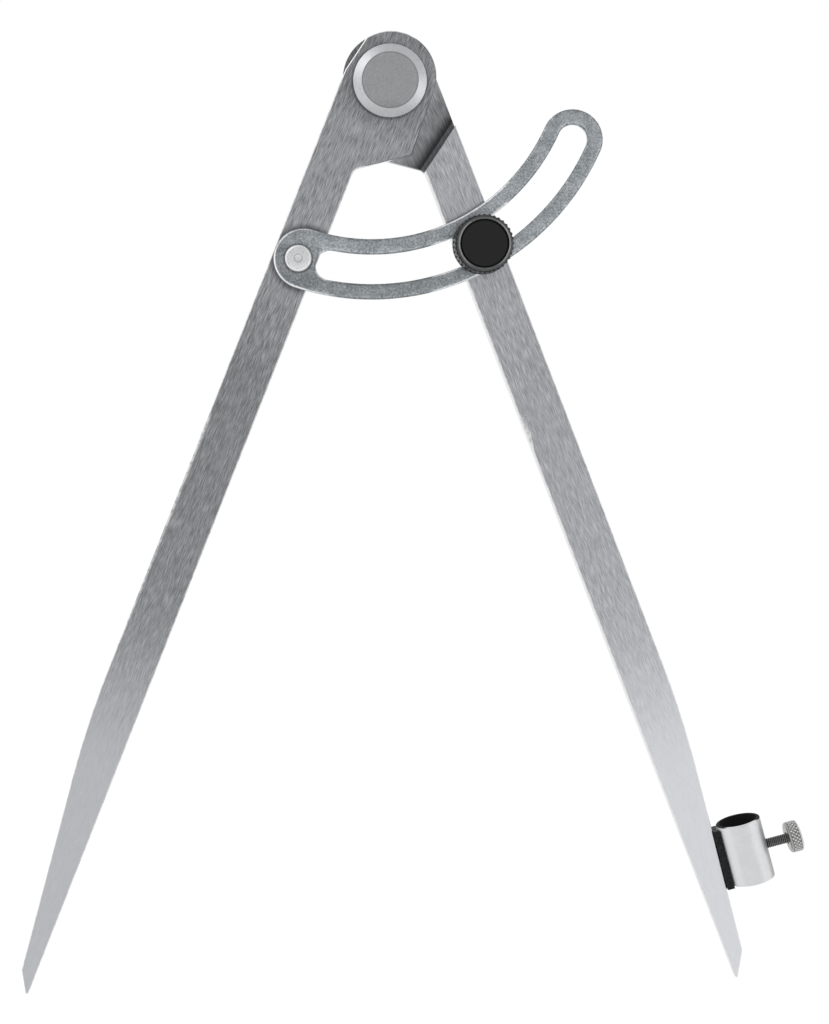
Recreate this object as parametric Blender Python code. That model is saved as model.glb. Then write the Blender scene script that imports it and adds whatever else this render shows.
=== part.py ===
"""A wing compass with a pencil holder: two pointed steel legs half-lapped at a riveted head,
a slotted arc plate that locks their opening, and a tube with a thumbscrew that grips a pencil.

The drawing plane is the front view: drawing x runs right, drawing y runs up and drawing z comes
towards the viewer, counted from the flat rear face of the pivot's washer. The drawing stands
upright in the world, so drawing y is world Z and drawing z is world -Y.
"""

import math

import bmesh
import bpy
from mathutils import Matrix, Vector

# Clearances
SEAT_GAP = 0.0003
BORE_CLEARANCE = 0.0003
CUT_OVERRUN = 0.001

# Legs
LEG_THICKNESS = 0.006
LEG_WIDTH = 0.0108
LEFT_REACH = 0.2398
RIGHT_REACH = 0.23465
LEFT_REST_ANGLE = math.radians(-21.57)
RIGHT_REST_ANGLE = math.radians(21.07)
LEG_EDGE_BEVEL = 0.00025

# Half-lapped head, with the centre of its round a little outside and beyond the pivot
EDGE_OFF_PIVOT = 0.00025
HEAD_BEYOND_PIVOT = 0.00116
HEAD_RADIUS = 0.0111
LUG_REACH = 0.0117
LUG_DEPTH = 0.0158
CROTCH_DEPTH = 0.0241
CROTCH_FILLET = 0.0024
LEFT_HEAD_FLAT_ANGLE = math.radians(37.0)
LEFT_HEAD_FLAT_END = 0.0024

# Points
LEFT_TAPER_LENGTH = 0.0668
RIGHT_TAPER_LENGTH = 0.0638
TAPER_ANGLE = math.radians(6.7)
TAPER_ROUND = 0.014
TIP_FACET_ANGLE = math.radians(31.0)
TIP_BLUNT = 0.0005
THINNING_START = 0.152
TIP_THICKNESS = 0.0022

# Ground facets on the left front edge of each leg
RIGHT_FACET_START = 0.0886
RIGHT_FACET_LENGTH = 0.0104
RIGHT_FACET_WIDTH = 0.0018
LEFT_FACET_START = 0.0919
LEFT_FACET_LENGTH = 0.062
LEFT_FACET_WIDTH = 0.0013
LEFT_FACET_END_WIDTH = 0.0006

# Pivot rivet and its rear washer
PIVOT_SHANK_RADIUS = 0.0032
PIVOT_HEAD_RADIUS = 0.0089
PIVOT_HEAD_HEIGHT = 0.0026
PIVOT_HEAD_CHAMFER = 0.0021
REAR_WASHER_RADIUS = 0.0086
REAR_WASHER_HEIGHT = 0.0024
REAR_WASHER_CHAMFER = 0.0012

# Wing plate
WING_THICKNESS = 0.002
WING_RADIUS = 0.05306
WING_WIDTH = 0.0146
SLOT_WIDTH = 0.0071
RIVET_TO_SLOT_ANGLE = math.radians(8.5)
RIVET_TO_WING_END_ANGLE = math.radians(1.4)
RIVET_TO_FAR_END_ANGLE = math.radians(85.2)
RIVET_OFF_ARC = 0.0004
STUD_OFF_SLOT_CENTRE = 0.0011
WING_EDGE_BEVEL = 0.0003

# Wing rivet, along the left leg and across it
WING_RIVET_ALONG = 0.04924
WING_RIVET_ACROSS = 0.00456
WING_RIVET_RADIUS = 0.0018
WING_RIVET_HEAD_RADIUS = 0.0032
WING_RIVET_HEAD_HEIGHT = 0.0011
WING_RIVET_DIMPLE_RADIUS = 0.001
WING_RIVET_DIMPLE_DEPTH = 0.0004

# Clamp stud, along the right leg and across it
STUD_ALONG = 0.04622
STUD_ACROSS = 0.00592
STUD_RADIUS = 0.0019
STUD_HEAD_RADIUS = 0.004
STUD_HEAD_HEIGHT = 0.0018
CLAMP_WASHER_RADIUS = 0.0058
CLAMP_WASHER_HEIGHT = 0.0008

# Knob
KNOB_RADIUS = 0.0071
KNOB_HEIGHT = 0.0082
KNOB_TEETH = 36
KNOB_TOOTH_DEPTH = 0.0003
KNOB_RIM_WIDTH = 0.001
KNOB_SHOULDER_WIDTH = 0.0006
KNOB_SHOULDER_DEPTH = 0.0012
CAP_HEIGHT = 0.0014
CAP_RECESS = 0.0003
CAP_EDGE_BEVEL = 0.0003
INSERT_WALL = 0.0014
STUD_SPARE_LENGTH = 0.0004

# Pencil holder, beside the right leg's tapered edge
TUBE_FROM_TIP = 0.0288
TUBE_LEG_GAP = 0.0015
TUBE_RADIUS = 0.0054
TUBE_WALL = 0.0008
TUBE_LENGTH = 0.01475
TUBE_ANGLE_TO_LEG = math.radians(-6.2)
SADDLE_DEPTH = 0.0056
SADDLE_TO_AXIS = 0.0051
SADDLE_LENGTH = 0.0145
SADDLE_BELOW_MIDDLE = 0.0005

# Thumbscrew
SCREW_RADIUS = 0.0012
SCREW_OFFSET = 0.0001
SCREW_REACH_IN = 0.0012
SCREW_SHANK_SHOWN = 0.0051
SCREW_HEAD_RADIUS = 0.0038
SCREW_HEAD_LENGTH = 0.0033
SCREW_HEAD_CHAMFER = 0.0005
SCREW_HEAD_TEETH = 24
SCREW_HEAD_SOCKET = 0.0012
SCREW_TOOTH_DEPTH = 0.0003

# How finely round shapes are cut
HEAD_STEPS = 28
FILLET_STEPS = 4
WING_STEPS = 26
END_STEPS = 14
ROUND_SIDES = 36
SMALL_SIDES = 20
SMOOTH_ANGLE = math.radians(32.0)

# Heights above the rear face of the pivot's washer
leg_back = REAR_WASHER_HEIGHT + SEAT_GAP
leg_middle = leg_back + LEG_THICKNESS / 2
leg_front = leg_back + LEG_THICKNESS
on_leg = leg_front + SEAT_GAP
wing_front = on_leg + WING_THICKNESS
washer_back = wing_front + SEAT_GAP
knob_back = washer_back + CLAMP_WASHER_HEIGHT + SEAT_GAP


def clear_scene():
    for old in list(bpy.data.objects):
        bpy.data.objects.remove(old, do_unlink=True)


def material(name, colour, metallic, roughness):
    made = bpy.data.materials.new(name)
    made.use_nodes = True
    shader = made.node_tree.nodes["Principled BSDF"]
    shader.inputs["Base Color"].default_value = (*colour, 1.0)
    shader.inputs["Metallic"].default_value = metallic
    shader.inputs["Roughness"].default_value = roughness
    return made


def empty(name, parent=None, location=(0, 0, 0), turn=(0, 0, 0)):
    made = bpy.data.objects.new(name, None)
    made.parent = parent
    made.location = location
    made.rotation_euler = turn
    bpy.context.scene.collection.objects.link(made)
    return made


def finish_mesh(name, shape, parent, location=(0, 0, 0), turn=(0, 0, 0)):
    """The bmesh as a named object with its normals facing out."""
    bmesh.ops.recalc_face_normals(shape, faces=shape.faces)
    mesh = bpy.data.meshes.new(name)
    shape.to_mesh(mesh)
    shape.free()
    mesh.shade_smooth()
    mesh.set_sharp_from_angle(angle=SMOOTH_ANGLE)
    made = bpy.data.objects.new(name, mesh)
    made.parent = parent
    made.location = location
    made.rotation_euler = turn
    bpy.context.scene.collection.objects.link(made)
    return made


def arc(centre, radius, start, end, steps):
    """Points on an arc of the drawing, both ends included."""
    angles = [start + (end - start) * i / steps for i in range(steps + 1)]
    return [
        (centre[0] + radius * math.cos(a), centre[1] + radius * math.sin(a)) for a in angles
    ]


def prism(outline, thickness, base=0.0):
    """A bmesh plate with this outline in drawing x and y, from base upwards in z."""
    shape = bmesh.new()
    face = shape.faces.new([shape.verts.new((x, y, base)) for x, y in outline])
    raised = bmesh.ops.extrude_face_region(shape, geom=[face])["geom"]
    corners = [item for item in raised if isinstance(item, bmesh.types.BMVert)]
    bmesh.ops.translate(shape, verts=corners, vec=(0, 0, thickness))
    return shape


def turned(profile, sides):
    """A bmesh turned round z from a closed profile of (radius, height) points."""
    shape = bmesh.new()
    rings = []
    for radius, height in profile:
        if radius == 0:
            rings.append([shape.verts.new((0, 0, height))] * sides)
            continue
        angles = [math.tau * i / sides for i in range(sides)]
        ring = [
            shape.verts.new((radius * math.cos(a), radius * math.sin(a), height))
            for a in angles
        ]
        rings.append(ring)
    for lower, upper in zip(rings, rings[1:] + rings[:1]):
        for i in range(sides):
            j = (i + 1) % sides
            corners = list(dict.fromkeys([lower[i], lower[j], upper[j], upper[i]]))
            if len(corners) > 2:
                shape.faces.new(corners)
    return shape


def toothed_outline(radius, tooth_depth, teeth):
    """A ring of rounded teeth, with their tips at the radius."""
    points = []
    for i in range(teeth * 4):
        lift = math.sin(math.tau * i / 4) if i % 2 else 0.0
        r = radius - tooth_depth / 2 + lift * tooth_depth / 2
        angle = math.tau * i / (teeth * 4)
        points.append((r * math.cos(angle), r * math.sin(angle)))
    return points


def cut(target, cutter):
    """Cuts the hidden cutter out of the target."""
    cutter.hide_render = True
    cutter.display_type = "WIRE"
    modifier = target.modifiers.new("cut_" + cutter.name, "BOOLEAN")
    modifier.operation = "DIFFERENCE"
    modifier.solver = "EXACT"
    modifier.object = cutter


def cut_bore(target, name, place, radius, low, high, parent):
    """Bores the target at this place of the drawing, between two heights and past both."""
    length = high - low + CUT_OVERRUN * 2
    profile = [(0, 0), (radius, 0), (radius, length), (0, length)]
    cutter = finish_mesh(
        name, turned(profile, SMALL_SIDES), parent, (*place, low - CUT_OVERRUN)
    )
    cut(target, cutter)


def soften(target, width):
    """Breaks the piece's sharp edges."""
    modifier = target.modifiers.new("edge_break", "BEVEL")
    modifier.width = width
    modifier.segments = 1
    modifier.limit_method = "ANGLE"
    modifier.angle_limit = SMOOTH_ANGLE
    modifier.use_clamp_overlap = True
    modifier.harden_normals = False


def dress(target, finish):
    target.data.materials.append(finish)
    return target


def leg_point(side, across, along):
    """A place on a leg: outwards from its inner edge, and along it from its head's centre."""
    return (side * (across + EDGE_OFF_PIVOT), HEAD_BEYOND_PIVOT - along)


def from_leg_point(place):
    """How far across and along the right leg this place of its drawing is."""
    return place[0] - EDGE_OFF_PIVOT, HEAD_BEYOND_PIVOT - place[1]


def tapered_width(from_tip, length):
    """The leg's width where its outer edge runs straight to the point."""
    return LEG_WIDTH - (length - from_tip) * math.tan(TAPER_ANGLE)


def facet_length(length):
    """How long a leg's last facet is, from the tapered edge to the blunted tip."""
    taper = math.tan(TAPER_ANGLE)
    facet = math.tan(TIP_FACET_ANGLE)
    return (LEG_WIDTH - length * taper - TIP_BLUNT) / (facet - taper)


def taper_round(side, reach, length):
    """The gentle round where the straight outer edge turns towards the point."""
    radius = TAPER_ROUND / math.tan(TAPER_ANGLE / 2)
    start = reach - length - TAPER_ROUND
    points = []
    for i in range(FILLET_STEPS + 1):
        turn = TAPER_ANGLE * i / FILLET_STEPS
        across = LEG_WIDTH - radius * (1 - math.cos(turn))
        points.append(leg_point(side, across, start + radius * math.sin(turn)))
    return points


def crotch_fillet(side):
    """The round between the lug's lower edge and the leg's inner edge."""
    slope = math.atan2(CROTCH_DEPTH - LUG_DEPTH, LUG_REACH)
    bend = math.pi / 2 - slope
    tangent = CROTCH_FILLET * math.tan(bend / 2)
    points = []
    for i in range(FILLET_STEPS + 1):
        turn = bend * i / FILLET_STEPS
        across = -CROTCH_FILLET * (1 - math.cos(turn))
        along = CROTCH_DEPTH + tangent - CROTCH_FILLET * math.sin(turn)
        points.append(leg_point(side, across, along))
    return points


def leg_outline(side, reach, length, head_flat):
    """A leg seen from the front. A head flat takes the corner off its outer shoulder."""
    facet = facet_length(length)
    shoulder = math.pi / 2 - math.asin(LEG_WIDTH / HEAD_RADIUS)
    last_angle = LEFT_HEAD_FLAT_ANGLE if head_flat else shoulder
    head = arc((0, 0), HEAD_RADIUS, math.pi, last_angle, HEAD_STEPS)
    outline = [leg_point(side, TIP_BLUNT, reach), leg_point(side, 0, reach - TIP_BLUNT)]
    outline += crotch_fillet(side)
    outline.append(leg_point(side, -LUG_REACH, LUG_DEPTH))
    outline += [leg_point(side, across, -beyond) for across, beyond in head]
    if head_flat:
        outline.append(leg_point(side, LEG_WIDTH, LEFT_HEAD_FLAT_END))
    outline += taper_round(side, reach, length)
    outline.append(leg_point(side, tapered_width(facet, length), reach - facet))
    return outline


def thin_point(shape, reach):
    """Draws both faces in towards the middle, evenly from where the thinning starts to the tip."""
    start = HEAD_BEYOND_PIVOT - THINNING_START
    end = HEAD_BEYOND_PIVOT - reach
    level = Vector((0, start, 0))
    everything = list(shape.verts) + list(shape.edges) + list(shape.faces)
    bmesh.ops.bisect_plane(shape, geom=everything, plane_co=level, plane_no=(0, 1, 0))
    most = (LEG_THICKNESS - TIP_THICKNESS) / 2
    for corner in shape.verts:
        share = max(start - corner.co.y, 0) / (start - end)
        inwards = math.copysign(most * share, leg_middle - corner.co.z)
        corner.co.z += inwards


def lap_cutter(name, side, low, high, parent):
    """The space that the other leg's head turns in: everything above its lug's lower edge."""
    slope = math.atan2(CROTCH_DEPTH - LUG_DEPTH, LUG_REACH)
    drop = SEAT_GAP / math.cos(slope)
    beyond = HEAD_RADIUS + CUT_OVERRUN
    rise = beyond * math.tan(slope)
    outline = [
        leg_point(side, beyond, CROTCH_DEPTH + drop - rise),
        leg_point(side, -LUG_REACH - CUT_OVERRUN, CROTCH_DEPTH + drop + rise),
        leg_point(side, -LUG_REACH - CUT_OVERRUN, -beyond),
        leg_point(side, beyond, -beyond),
    ]
    return finish_mesh(name, prism(outline, high - low, low), parent)


def facet_cutter(name, side, inner, start, length, width, end_width, parent):
    """The wedge of a ground facet: widest where it starts, and half as deep as it is wide."""
    edge = 0 if inner else LEG_WIDTH
    inwards = 1 if inner else -1
    shape = bmesh.new()
    for along, wide in ((start, width), (start + length, end_width)):
        for into, height in (
            (wide, leg_front),
            (0, leg_front - wide / 2),
            (-CUT_OVERRUN, leg_front - wide / 2 - CUT_OVERRUN / 2),
            (-CUT_OVERRUN, leg_front + CUT_OVERRUN),
            (wide, leg_front + CUT_OVERRUN),
        ):
            across = edge + inwards * into
            x, y = leg_point(side, across, along)
            shape.verts.new((x, y, height))
    bmesh.ops.convex_hull(shape, input=shape.verts)
    return finish_mesh(name, shape, parent)


def make_leg(name, side, outline, reach, lap, facet, bores, parent, finish):
    shape = prism(outline, LEG_THICKNESS, leg_back)
    thin_point(shape, reach)
    leg = finish_mesh(name, shape, parent)
    cut(leg, lap_cutter(name + "_lap", side, *lap, parent))
    cut(leg, facet_cutter(name + "_facet", side, *facet, parent))
    for label, place, radius in bores:
        cut_bore(leg, f"{name}_{label}", place, radius, leg_back, leg_front, parent)
    soften(leg, LEG_EDGE_BEVEL)
    return dress(leg, finish)


def make_left_leg(parent, finish):
    lap = (leg_back - CUT_OVERRUN, leg_middle + SEAT_GAP / 2)
    widths = (LEFT_FACET_WIDTH, LEFT_FACET_END_WIDTH)
    facet = (False, LEFT_FACET_START, LEFT_FACET_LENGTH, *widths)
    bores = (
        ("pivot_bore", (0, 0), PIVOT_SHANK_RADIUS + BORE_CLEARANCE),
        (
            "rivet_bore",
            leg_point(-1, WING_RIVET_ACROSS, WING_RIVET_ALONG),
            WING_RIVET_RADIUS + BORE_CLEARANCE,
        ),
    )
    outline = leg_outline(-1, LEFT_REACH, LEFT_TAPER_LENGTH, head_flat=True)
    return make_leg("left_leg", -1, outline, LEFT_REACH, lap, facet, bores, parent, finish)


def make_right_leg(parent, finish):
    lap = (leg_middle - SEAT_GAP / 2, leg_front + CUT_OVERRUN)
    facet = (True, RIGHT_FACET_START, RIGHT_FACET_LENGTH, RIGHT_FACET_WIDTH, 0)
    bores = (
        ("pivot_bore", (0, 0), PIVOT_SHANK_RADIUS + BORE_CLEARANCE),
        (
            "stud_bore",
            leg_point(1, STUD_ACROSS, STUD_ALONG),
            STUD_RADIUS + BORE_CLEARANCE,
        ),
    )
    outline = leg_outline(1, RIGHT_REACH, RIGHT_TAPER_LENGTH, head_flat=False)
    return make_leg("right_leg", 1, outline, RIGHT_REACH, lap, facet, bores, parent, finish)


def make_pivot(parent, finish):
    """The rivet's chamfered head in front, its shank, and the washer that it is peened over."""
    top = on_leg + PIVOT_HEAD_HEIGHT
    profile = [
        (0, 0),
        (PIVOT_SHANK_RADIUS, 0),
        (PIVOT_SHANK_RADIUS, on_leg),
        (PIVOT_HEAD_RADIUS, on_leg),
        (PIVOT_HEAD_RADIUS, top - PIVOT_HEAD_CHAMFER / 2),
        (PIVOT_HEAD_RADIUS - PIVOT_HEAD_CHAMFER, top),
        (0, top),
    ]
    dress(finish_mesh("pivot_rivet", turned(profile, ROUND_SIDES), parent), finish)
    bore = PIVOT_SHANK_RADIUS + BORE_CLEARANCE
    washer = [
        (bore, 0),
        (REAR_WASHER_RADIUS - REAR_WASHER_CHAMFER, 0),
        (REAR_WASHER_RADIUS, REAR_WASHER_CHAMFER / 2),
        (REAR_WASHER_RADIUS, REAR_WASHER_HEIGHT),
        (bore, REAR_WASHER_HEIGHT),
    ]
    dress(finish_mesh("pivot_rear_washer", turned(washer, ROUND_SIDES), parent), finish)


def band_outline(centre, half_width, start, end, steps):
    """A curved band with round ends, clockwise from its start angle to its end angle."""
    start_cap = (
        centre[0] + WING_RADIUS * math.cos(start),
        centre[1] + WING_RADIUS * math.sin(start),
    )
    end_cap = (
        centre[0] + WING_RADIUS * math.cos(end),
        centre[1] + WING_RADIUS * math.sin(end),
    )
    outline = arc(centre, WING_RADIUS + half_width, start, end, steps)
    outline += arc(end_cap, half_width, end, end - math.pi, END_STEPS)[1:-1]
    outline += arc(centre, WING_RADIUS - half_width, end, start, steps)
    outline += arc(start_cap, half_width, start + math.pi, start, END_STEPS)[1:-1]
    return outline


def wing_centre():
    """The arc's centre, from the rivet: the rivet and the stud each lie just outside the arc."""
    rivet = Vector(leg_point(-1, WING_RIVET_ACROSS, WING_RIVET_ALONG))
    stud = Vector(leg_point(1, STUD_ACROSS, STUD_ALONG))
    rivet.rotate(Matrix.Rotation(LEFT_REST_ANGLE, 2))
    stud.rotate(Matrix.Rotation(RIGHT_REST_ANGLE, 2))
    chord = stud - rivet
    rivet_radius = WING_RADIUS + RIVET_OFF_ARC
    stud_radius = WING_RADIUS + STUD_OFF_SLOT_CENTRE
    ahead = (chord.length_squared + rivet_radius**2 - stud_radius**2) / (2 * chord.length)
    above = math.sqrt(rivet_radius**2 - ahead**2)
    along = chord.normalized()
    return (along.x * ahead - along.y * above, along.y * ahead + along.x * above)


def make_wing(parent, finish):
    """The arc plate about its rivet, with the slot that the clamp stud runs in."""
    centre = wing_centre()
    rivet_angle = math.atan2(-centre[1], -centre[0])
    far_end = rivet_angle + RIVET_TO_FAR_END_ANGLE
    near_end = rivet_angle + RIVET_TO_WING_END_ANGLE
    outline = band_outline(centre, WING_WIDTH / 2, far_end, near_end, WING_STEPS)
    wing = finish_mesh("wing_plate", prism(outline, WING_THICKNESS, on_leg), parent)
    slot_end = rivet_angle + RIVET_TO_SLOT_ANGLE
    slot = band_outline(centre, SLOT_WIDTH / 2, far_end, slot_end, WING_STEPS)
    height = WING_THICKNESS + CUT_OVERRUN * 2
    cut(wing, finish_mesh("wing_slot", prism(slot, height, on_leg - CUT_OVERRUN), parent))
    bore = WING_RIVET_RADIUS + BORE_CLEARANCE
    cut_bore(wing, "wing_bore", (0, 0), bore, on_leg, wing_front, parent)
    soften(wing, WING_EDGE_BEVEL)
    return dress(wing, finish)


def make_wing_rivet(parent, finish):
    """A low domed head with a dimple, and a shank that ends flush with the leg's back."""
    seat = wing_front + SEAT_GAP
    top = seat + WING_RIVET_HEAD_HEIGHT
    dome_shares = ((1.0, 0.35), (0.93, 0.66), (0.74, 0.9), (0.5, 1.0))
    profile = [
        (0, leg_back),
        (WING_RIVET_RADIUS, leg_back),
        (WING_RIVET_RADIUS, seat),
        (WING_RIVET_HEAD_RADIUS, seat),
    ]
    for radius_share, height_share in dome_shares:
        height = seat + WING_RIVET_HEAD_HEIGHT * height_share
        profile.append((WING_RIVET_HEAD_RADIUS * radius_share, height))
    profile.append((WING_RIVET_DIMPLE_RADIUS, top))
    profile.append((0, top - WING_RIVET_DIMPLE_DEPTH))
    dress(finish_mesh("wing_rivet", turned(profile, SMALL_SIDES), parent), finish)


def shoulder_ring(knob_front):
    """The ring of metal that the knob's sloping front shoulder takes off."""
    steepness = KNOB_SHOULDER_DEPTH / KNOB_SHOULDER_WIDTH
    lowest = knob_front - KNOB_SHOULDER_DEPTH - CUT_OVERRUN * steepness
    return [
        (KNOB_RADIUS - KNOB_SHOULDER_WIDTH, knob_front),
        (KNOB_RADIUS + CUT_OVERRUN, lowest),
        (KNOB_RADIUS + CUT_OVERRUN, knob_front + CUT_OVERRUN),
        (KNOB_RADIUS - KNOB_SHOULDER_WIDTH, knob_front + CUT_OVERRUN),
    ]


def make_clamp(parent, steel, nickel, black, brass):
    """The stud from behind the leg, and the washer, insert, knob and cap in front of the wing."""
    knob_front = knob_back + KNOB_HEIGHT
    cap_back = knob_front - CAP_RECESS - CAP_HEIGHT
    pocket_floor = cap_back - SEAT_GAP
    insert_radius = STUD_RADIUS + BORE_CLEARANCE + INSERT_WALL
    insert_front = pocket_floor - SEAT_GAP
    stud_front = insert_front - STUD_SPARE_LENGTH
    stud = [
        (0, leg_back - SEAT_GAP - STUD_HEAD_HEIGHT),
        (STUD_HEAD_RADIUS, leg_back - SEAT_GAP - STUD_HEAD_HEIGHT),
        (STUD_HEAD_RADIUS, leg_back - SEAT_GAP),
        (STUD_RADIUS, leg_back - SEAT_GAP),
        (STUD_RADIUS, stud_front),
        (0, stud_front),
    ]
    dress(finish_mesh("clamp_stud", turned(stud, SMALL_SIDES), parent), steel)
    bore = STUD_RADIUS + BORE_CLEARANCE
    washer_front = washer_back + CLAMP_WASHER_HEIGHT
    washer = [
        (bore, washer_back),
        (CLAMP_WASHER_RADIUS, washer_back),
        (CLAMP_WASHER_RADIUS, washer_front),
        (bore, washer_front),
    ]
    dress(finish_mesh("clamp_washer", turned(washer, ROUND_SIDES), parent), steel)
    insert = [
        (bore, knob_back),
        (insert_radius, knob_back),
        (insert_radius, insert_front),
        (bore, insert_front),
    ]
    dress(finish_mesh("knob_insert", turned(insert, SMALL_SIDES), parent), brass)
    outline = toothed_outline(KNOB_RADIUS, KNOB_TOOTH_DEPTH, KNOB_TEETH)
    knob = finish_mesh("knob_body", prism(outline, KNOB_HEIGHT, knob_back), parent)
    pocket_radius = KNOB_RADIUS - KNOB_TOOTH_DEPTH - KNOB_RIM_WIDTH
    hollow = [
        (0, knob_back - CUT_OVERRUN),
        (insert_radius + SEAT_GAP, knob_back - CUT_OVERRUN),
        (insert_radius + SEAT_GAP, pocket_floor),
        (pocket_radius, pocket_floor),
        (pocket_radius, knob_front + CUT_OVERRUN),
        (0, knob_front + CUT_OVERRUN),
    ]
    cut(knob, finish_mesh("knob_hollow", turned(hollow, ROUND_SIDES), parent))
    cut(knob, finish_mesh("knob_shoulder", turned(shoulder_ring(knob_front), ROUND_SIDES), parent))
    dress(knob, nickel)
    cap_radius = pocket_radius - SEAT_GAP
    cap = [
        (0, cap_back),
        (cap_radius, cap_back),
        (cap_radius, cap_back + CAP_HEIGHT - CAP_EDGE_BEVEL),
        (cap_radius - CAP_EDGE_BEVEL, cap_back + CAP_HEIGHT),
        (0, cap_back + CAP_HEIGHT),
    ]
    dress(finish_mesh("knob_cap", turned(cap, ROUND_SIDES), parent), black)


def tube_place():
    """The middle of the tube, in the right leg's drawing, and the direction down its axis."""
    width = tapered_width(TUBE_FROM_TIP, RIGHT_TAPER_LENGTH)
    edge = leg_point(1, width, RIGHT_REACH - TUBE_FROM_TIP)
    away = (math.cos(TUBE_ANGLE_TO_LEG), math.sin(TUBE_ANGLE_TO_LEG))
    down = (away[1], -away[0])
    standoff = TUBE_LEG_GAP + TUBE_RADIUS
    return (edge[0] + away[0] * standoff, edge[1] + away[1] * standoff), away, down


def make_pencil_holder(parent, satin, dark):
    """The tube that a pencil slides into, and the saddle that joins it to the leg's edge."""
    middle, away, down = tube_place()
    heading = math.atan2(down[1], down[0])
    inner = TUBE_RADIUS - TUBE_WALL
    half = TUBE_LENGTH / 2
    wall = [(inner, -half), (TUBE_RADIUS, -half), (TUBE_RADIUS, half), (inner, half)]
    lie = (0, math.pi / 2, heading)
    place = (*middle, leg_middle)
    tube = finish_mesh("pencil_tube", turned(wall, ROUND_SIDES), parent, place, lie)
    screw_bore = SCREW_RADIUS + BORE_CLEARANCE
    root = screw_root(middle, down)
    bore = [(0, 0), (screw_bore, 0)]
    bore += [(screw_bore, TUBE_RADIUS + CUT_OVERRUN), (0, TUBE_RADIUS + CUT_OVERRUN)]
    point = (0, math.pi / 2, math.atan2(away[1], away[0]))
    cutter = finish_mesh(
        "tube_screw_bore", turned(bore, SMALL_SIDES), parent, (*root, leg_middle), point
    )
    cut(tube, cutter)
    dress(tube, satin)
    make_saddle(middle, away, down, parent, dark, lie)


def make_saddle(middle, away, down, parent, finish, lie):
    slope = math.tan(TAPER_ANGLE)
    outline = []
    for along_share in (-1, 1):
        shift = along_share * SADDLE_LENGTH / 2 + SADDLE_BELOW_MIDDLE
        start = (middle[0] + down[0] * shift, middle[1] + down[1] * shift)
        tube_side = (start[0] - away[0] * SADDLE_TO_AXIS, start[1] - away[1] * SADDLE_TO_AXIS)
        across, along = from_leg_point(start)
        across_to_edge = across - tapered_width(RIGHT_REACH - along, RIGHT_TAPER_LENGTH)
        run = (across_to_edge - SEAT_GAP) / (away[0] + away[1] * slope)
        leg_side = (start[0] - away[0] * run, start[1] - away[1] * run)
        outline += [tube_side, leg_side] if along_share < 0 else [leg_side, tube_side]
    base = leg_middle - SADDLE_DEPTH / 2
    saddle = finish_mesh("holder_bracket", prism(outline, SADDLE_DEPTH, base), parent)
    round_radius = TUBE_RADIUS + SEAT_GAP
    half = SADDLE_LENGTH / 2 + SADDLE_BELOW_MIDDLE + CUT_OVERRUN
    bed = [(0, -half), (round_radius, -half), (round_radius, half), (0, half)]
    place = (*middle, leg_middle)
    cut(saddle, finish_mesh("saddle_bed", turned(bed, ROUND_SIDES), parent, place, lie))
    dress(saddle, finish)


def screw_root(middle, down):
    """Where the thumbscrew's axis crosses the tube's."""
    return (middle[0] - down[0] * SCREW_OFFSET, middle[1] - down[1] * SCREW_OFFSET)


def make_thumbscrew(parent, steel, dark):
    """The shank through the tube's outer wall, and the knurled head on its end."""
    middle, away, down = tube_place()
    place = (*screw_root(middle, down), leg_middle)
    point = (0, math.pi / 2, math.atan2(away[1], away[0]))
    inner_end = TUBE_RADIUS - TUBE_WALL - SCREW_REACH_IN
    head_back = TUBE_RADIUS + SCREW_SHANK_SHOWN
    socket_end = head_back + SCREW_HEAD_SOCKET
    shank = [
        (0, inner_end),
        (SCREW_RADIUS, inner_end),
        (SCREW_RADIUS, socket_end),
        (0, socket_end),
    ]
    made = finish_mesh(
        "thumbscrew_shank", turned(shank, SMALL_SIDES), parent, place, point
    )
    dress(made, dark)
    outline = toothed_outline(SCREW_HEAD_RADIUS, SCREW_TOOTH_DEPTH, SCREW_HEAD_TEETH)
    shape = prism(outline, SCREW_HEAD_LENGTH, head_back)
    head = finish_mesh("thumbscrew_head", shape, parent, place, point)
    socket_radius = SCREW_RADIUS + BORE_CLEARANCE
    low = head_back - CUT_OVERRUN
    floor = socket_end + SEAT_GAP
    socket = [(0, low), (socket_radius, low), (socket_radius, floor), (0, floor)]
    cutter = finish_mesh(
        "thumbscrew_socket", turned(socket, SMALL_SIDES), parent, place, point
    )
    cut(head, cutter)
    soften(head, SCREW_HEAD_CHAMFER)
    dress(head, steel)


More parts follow.
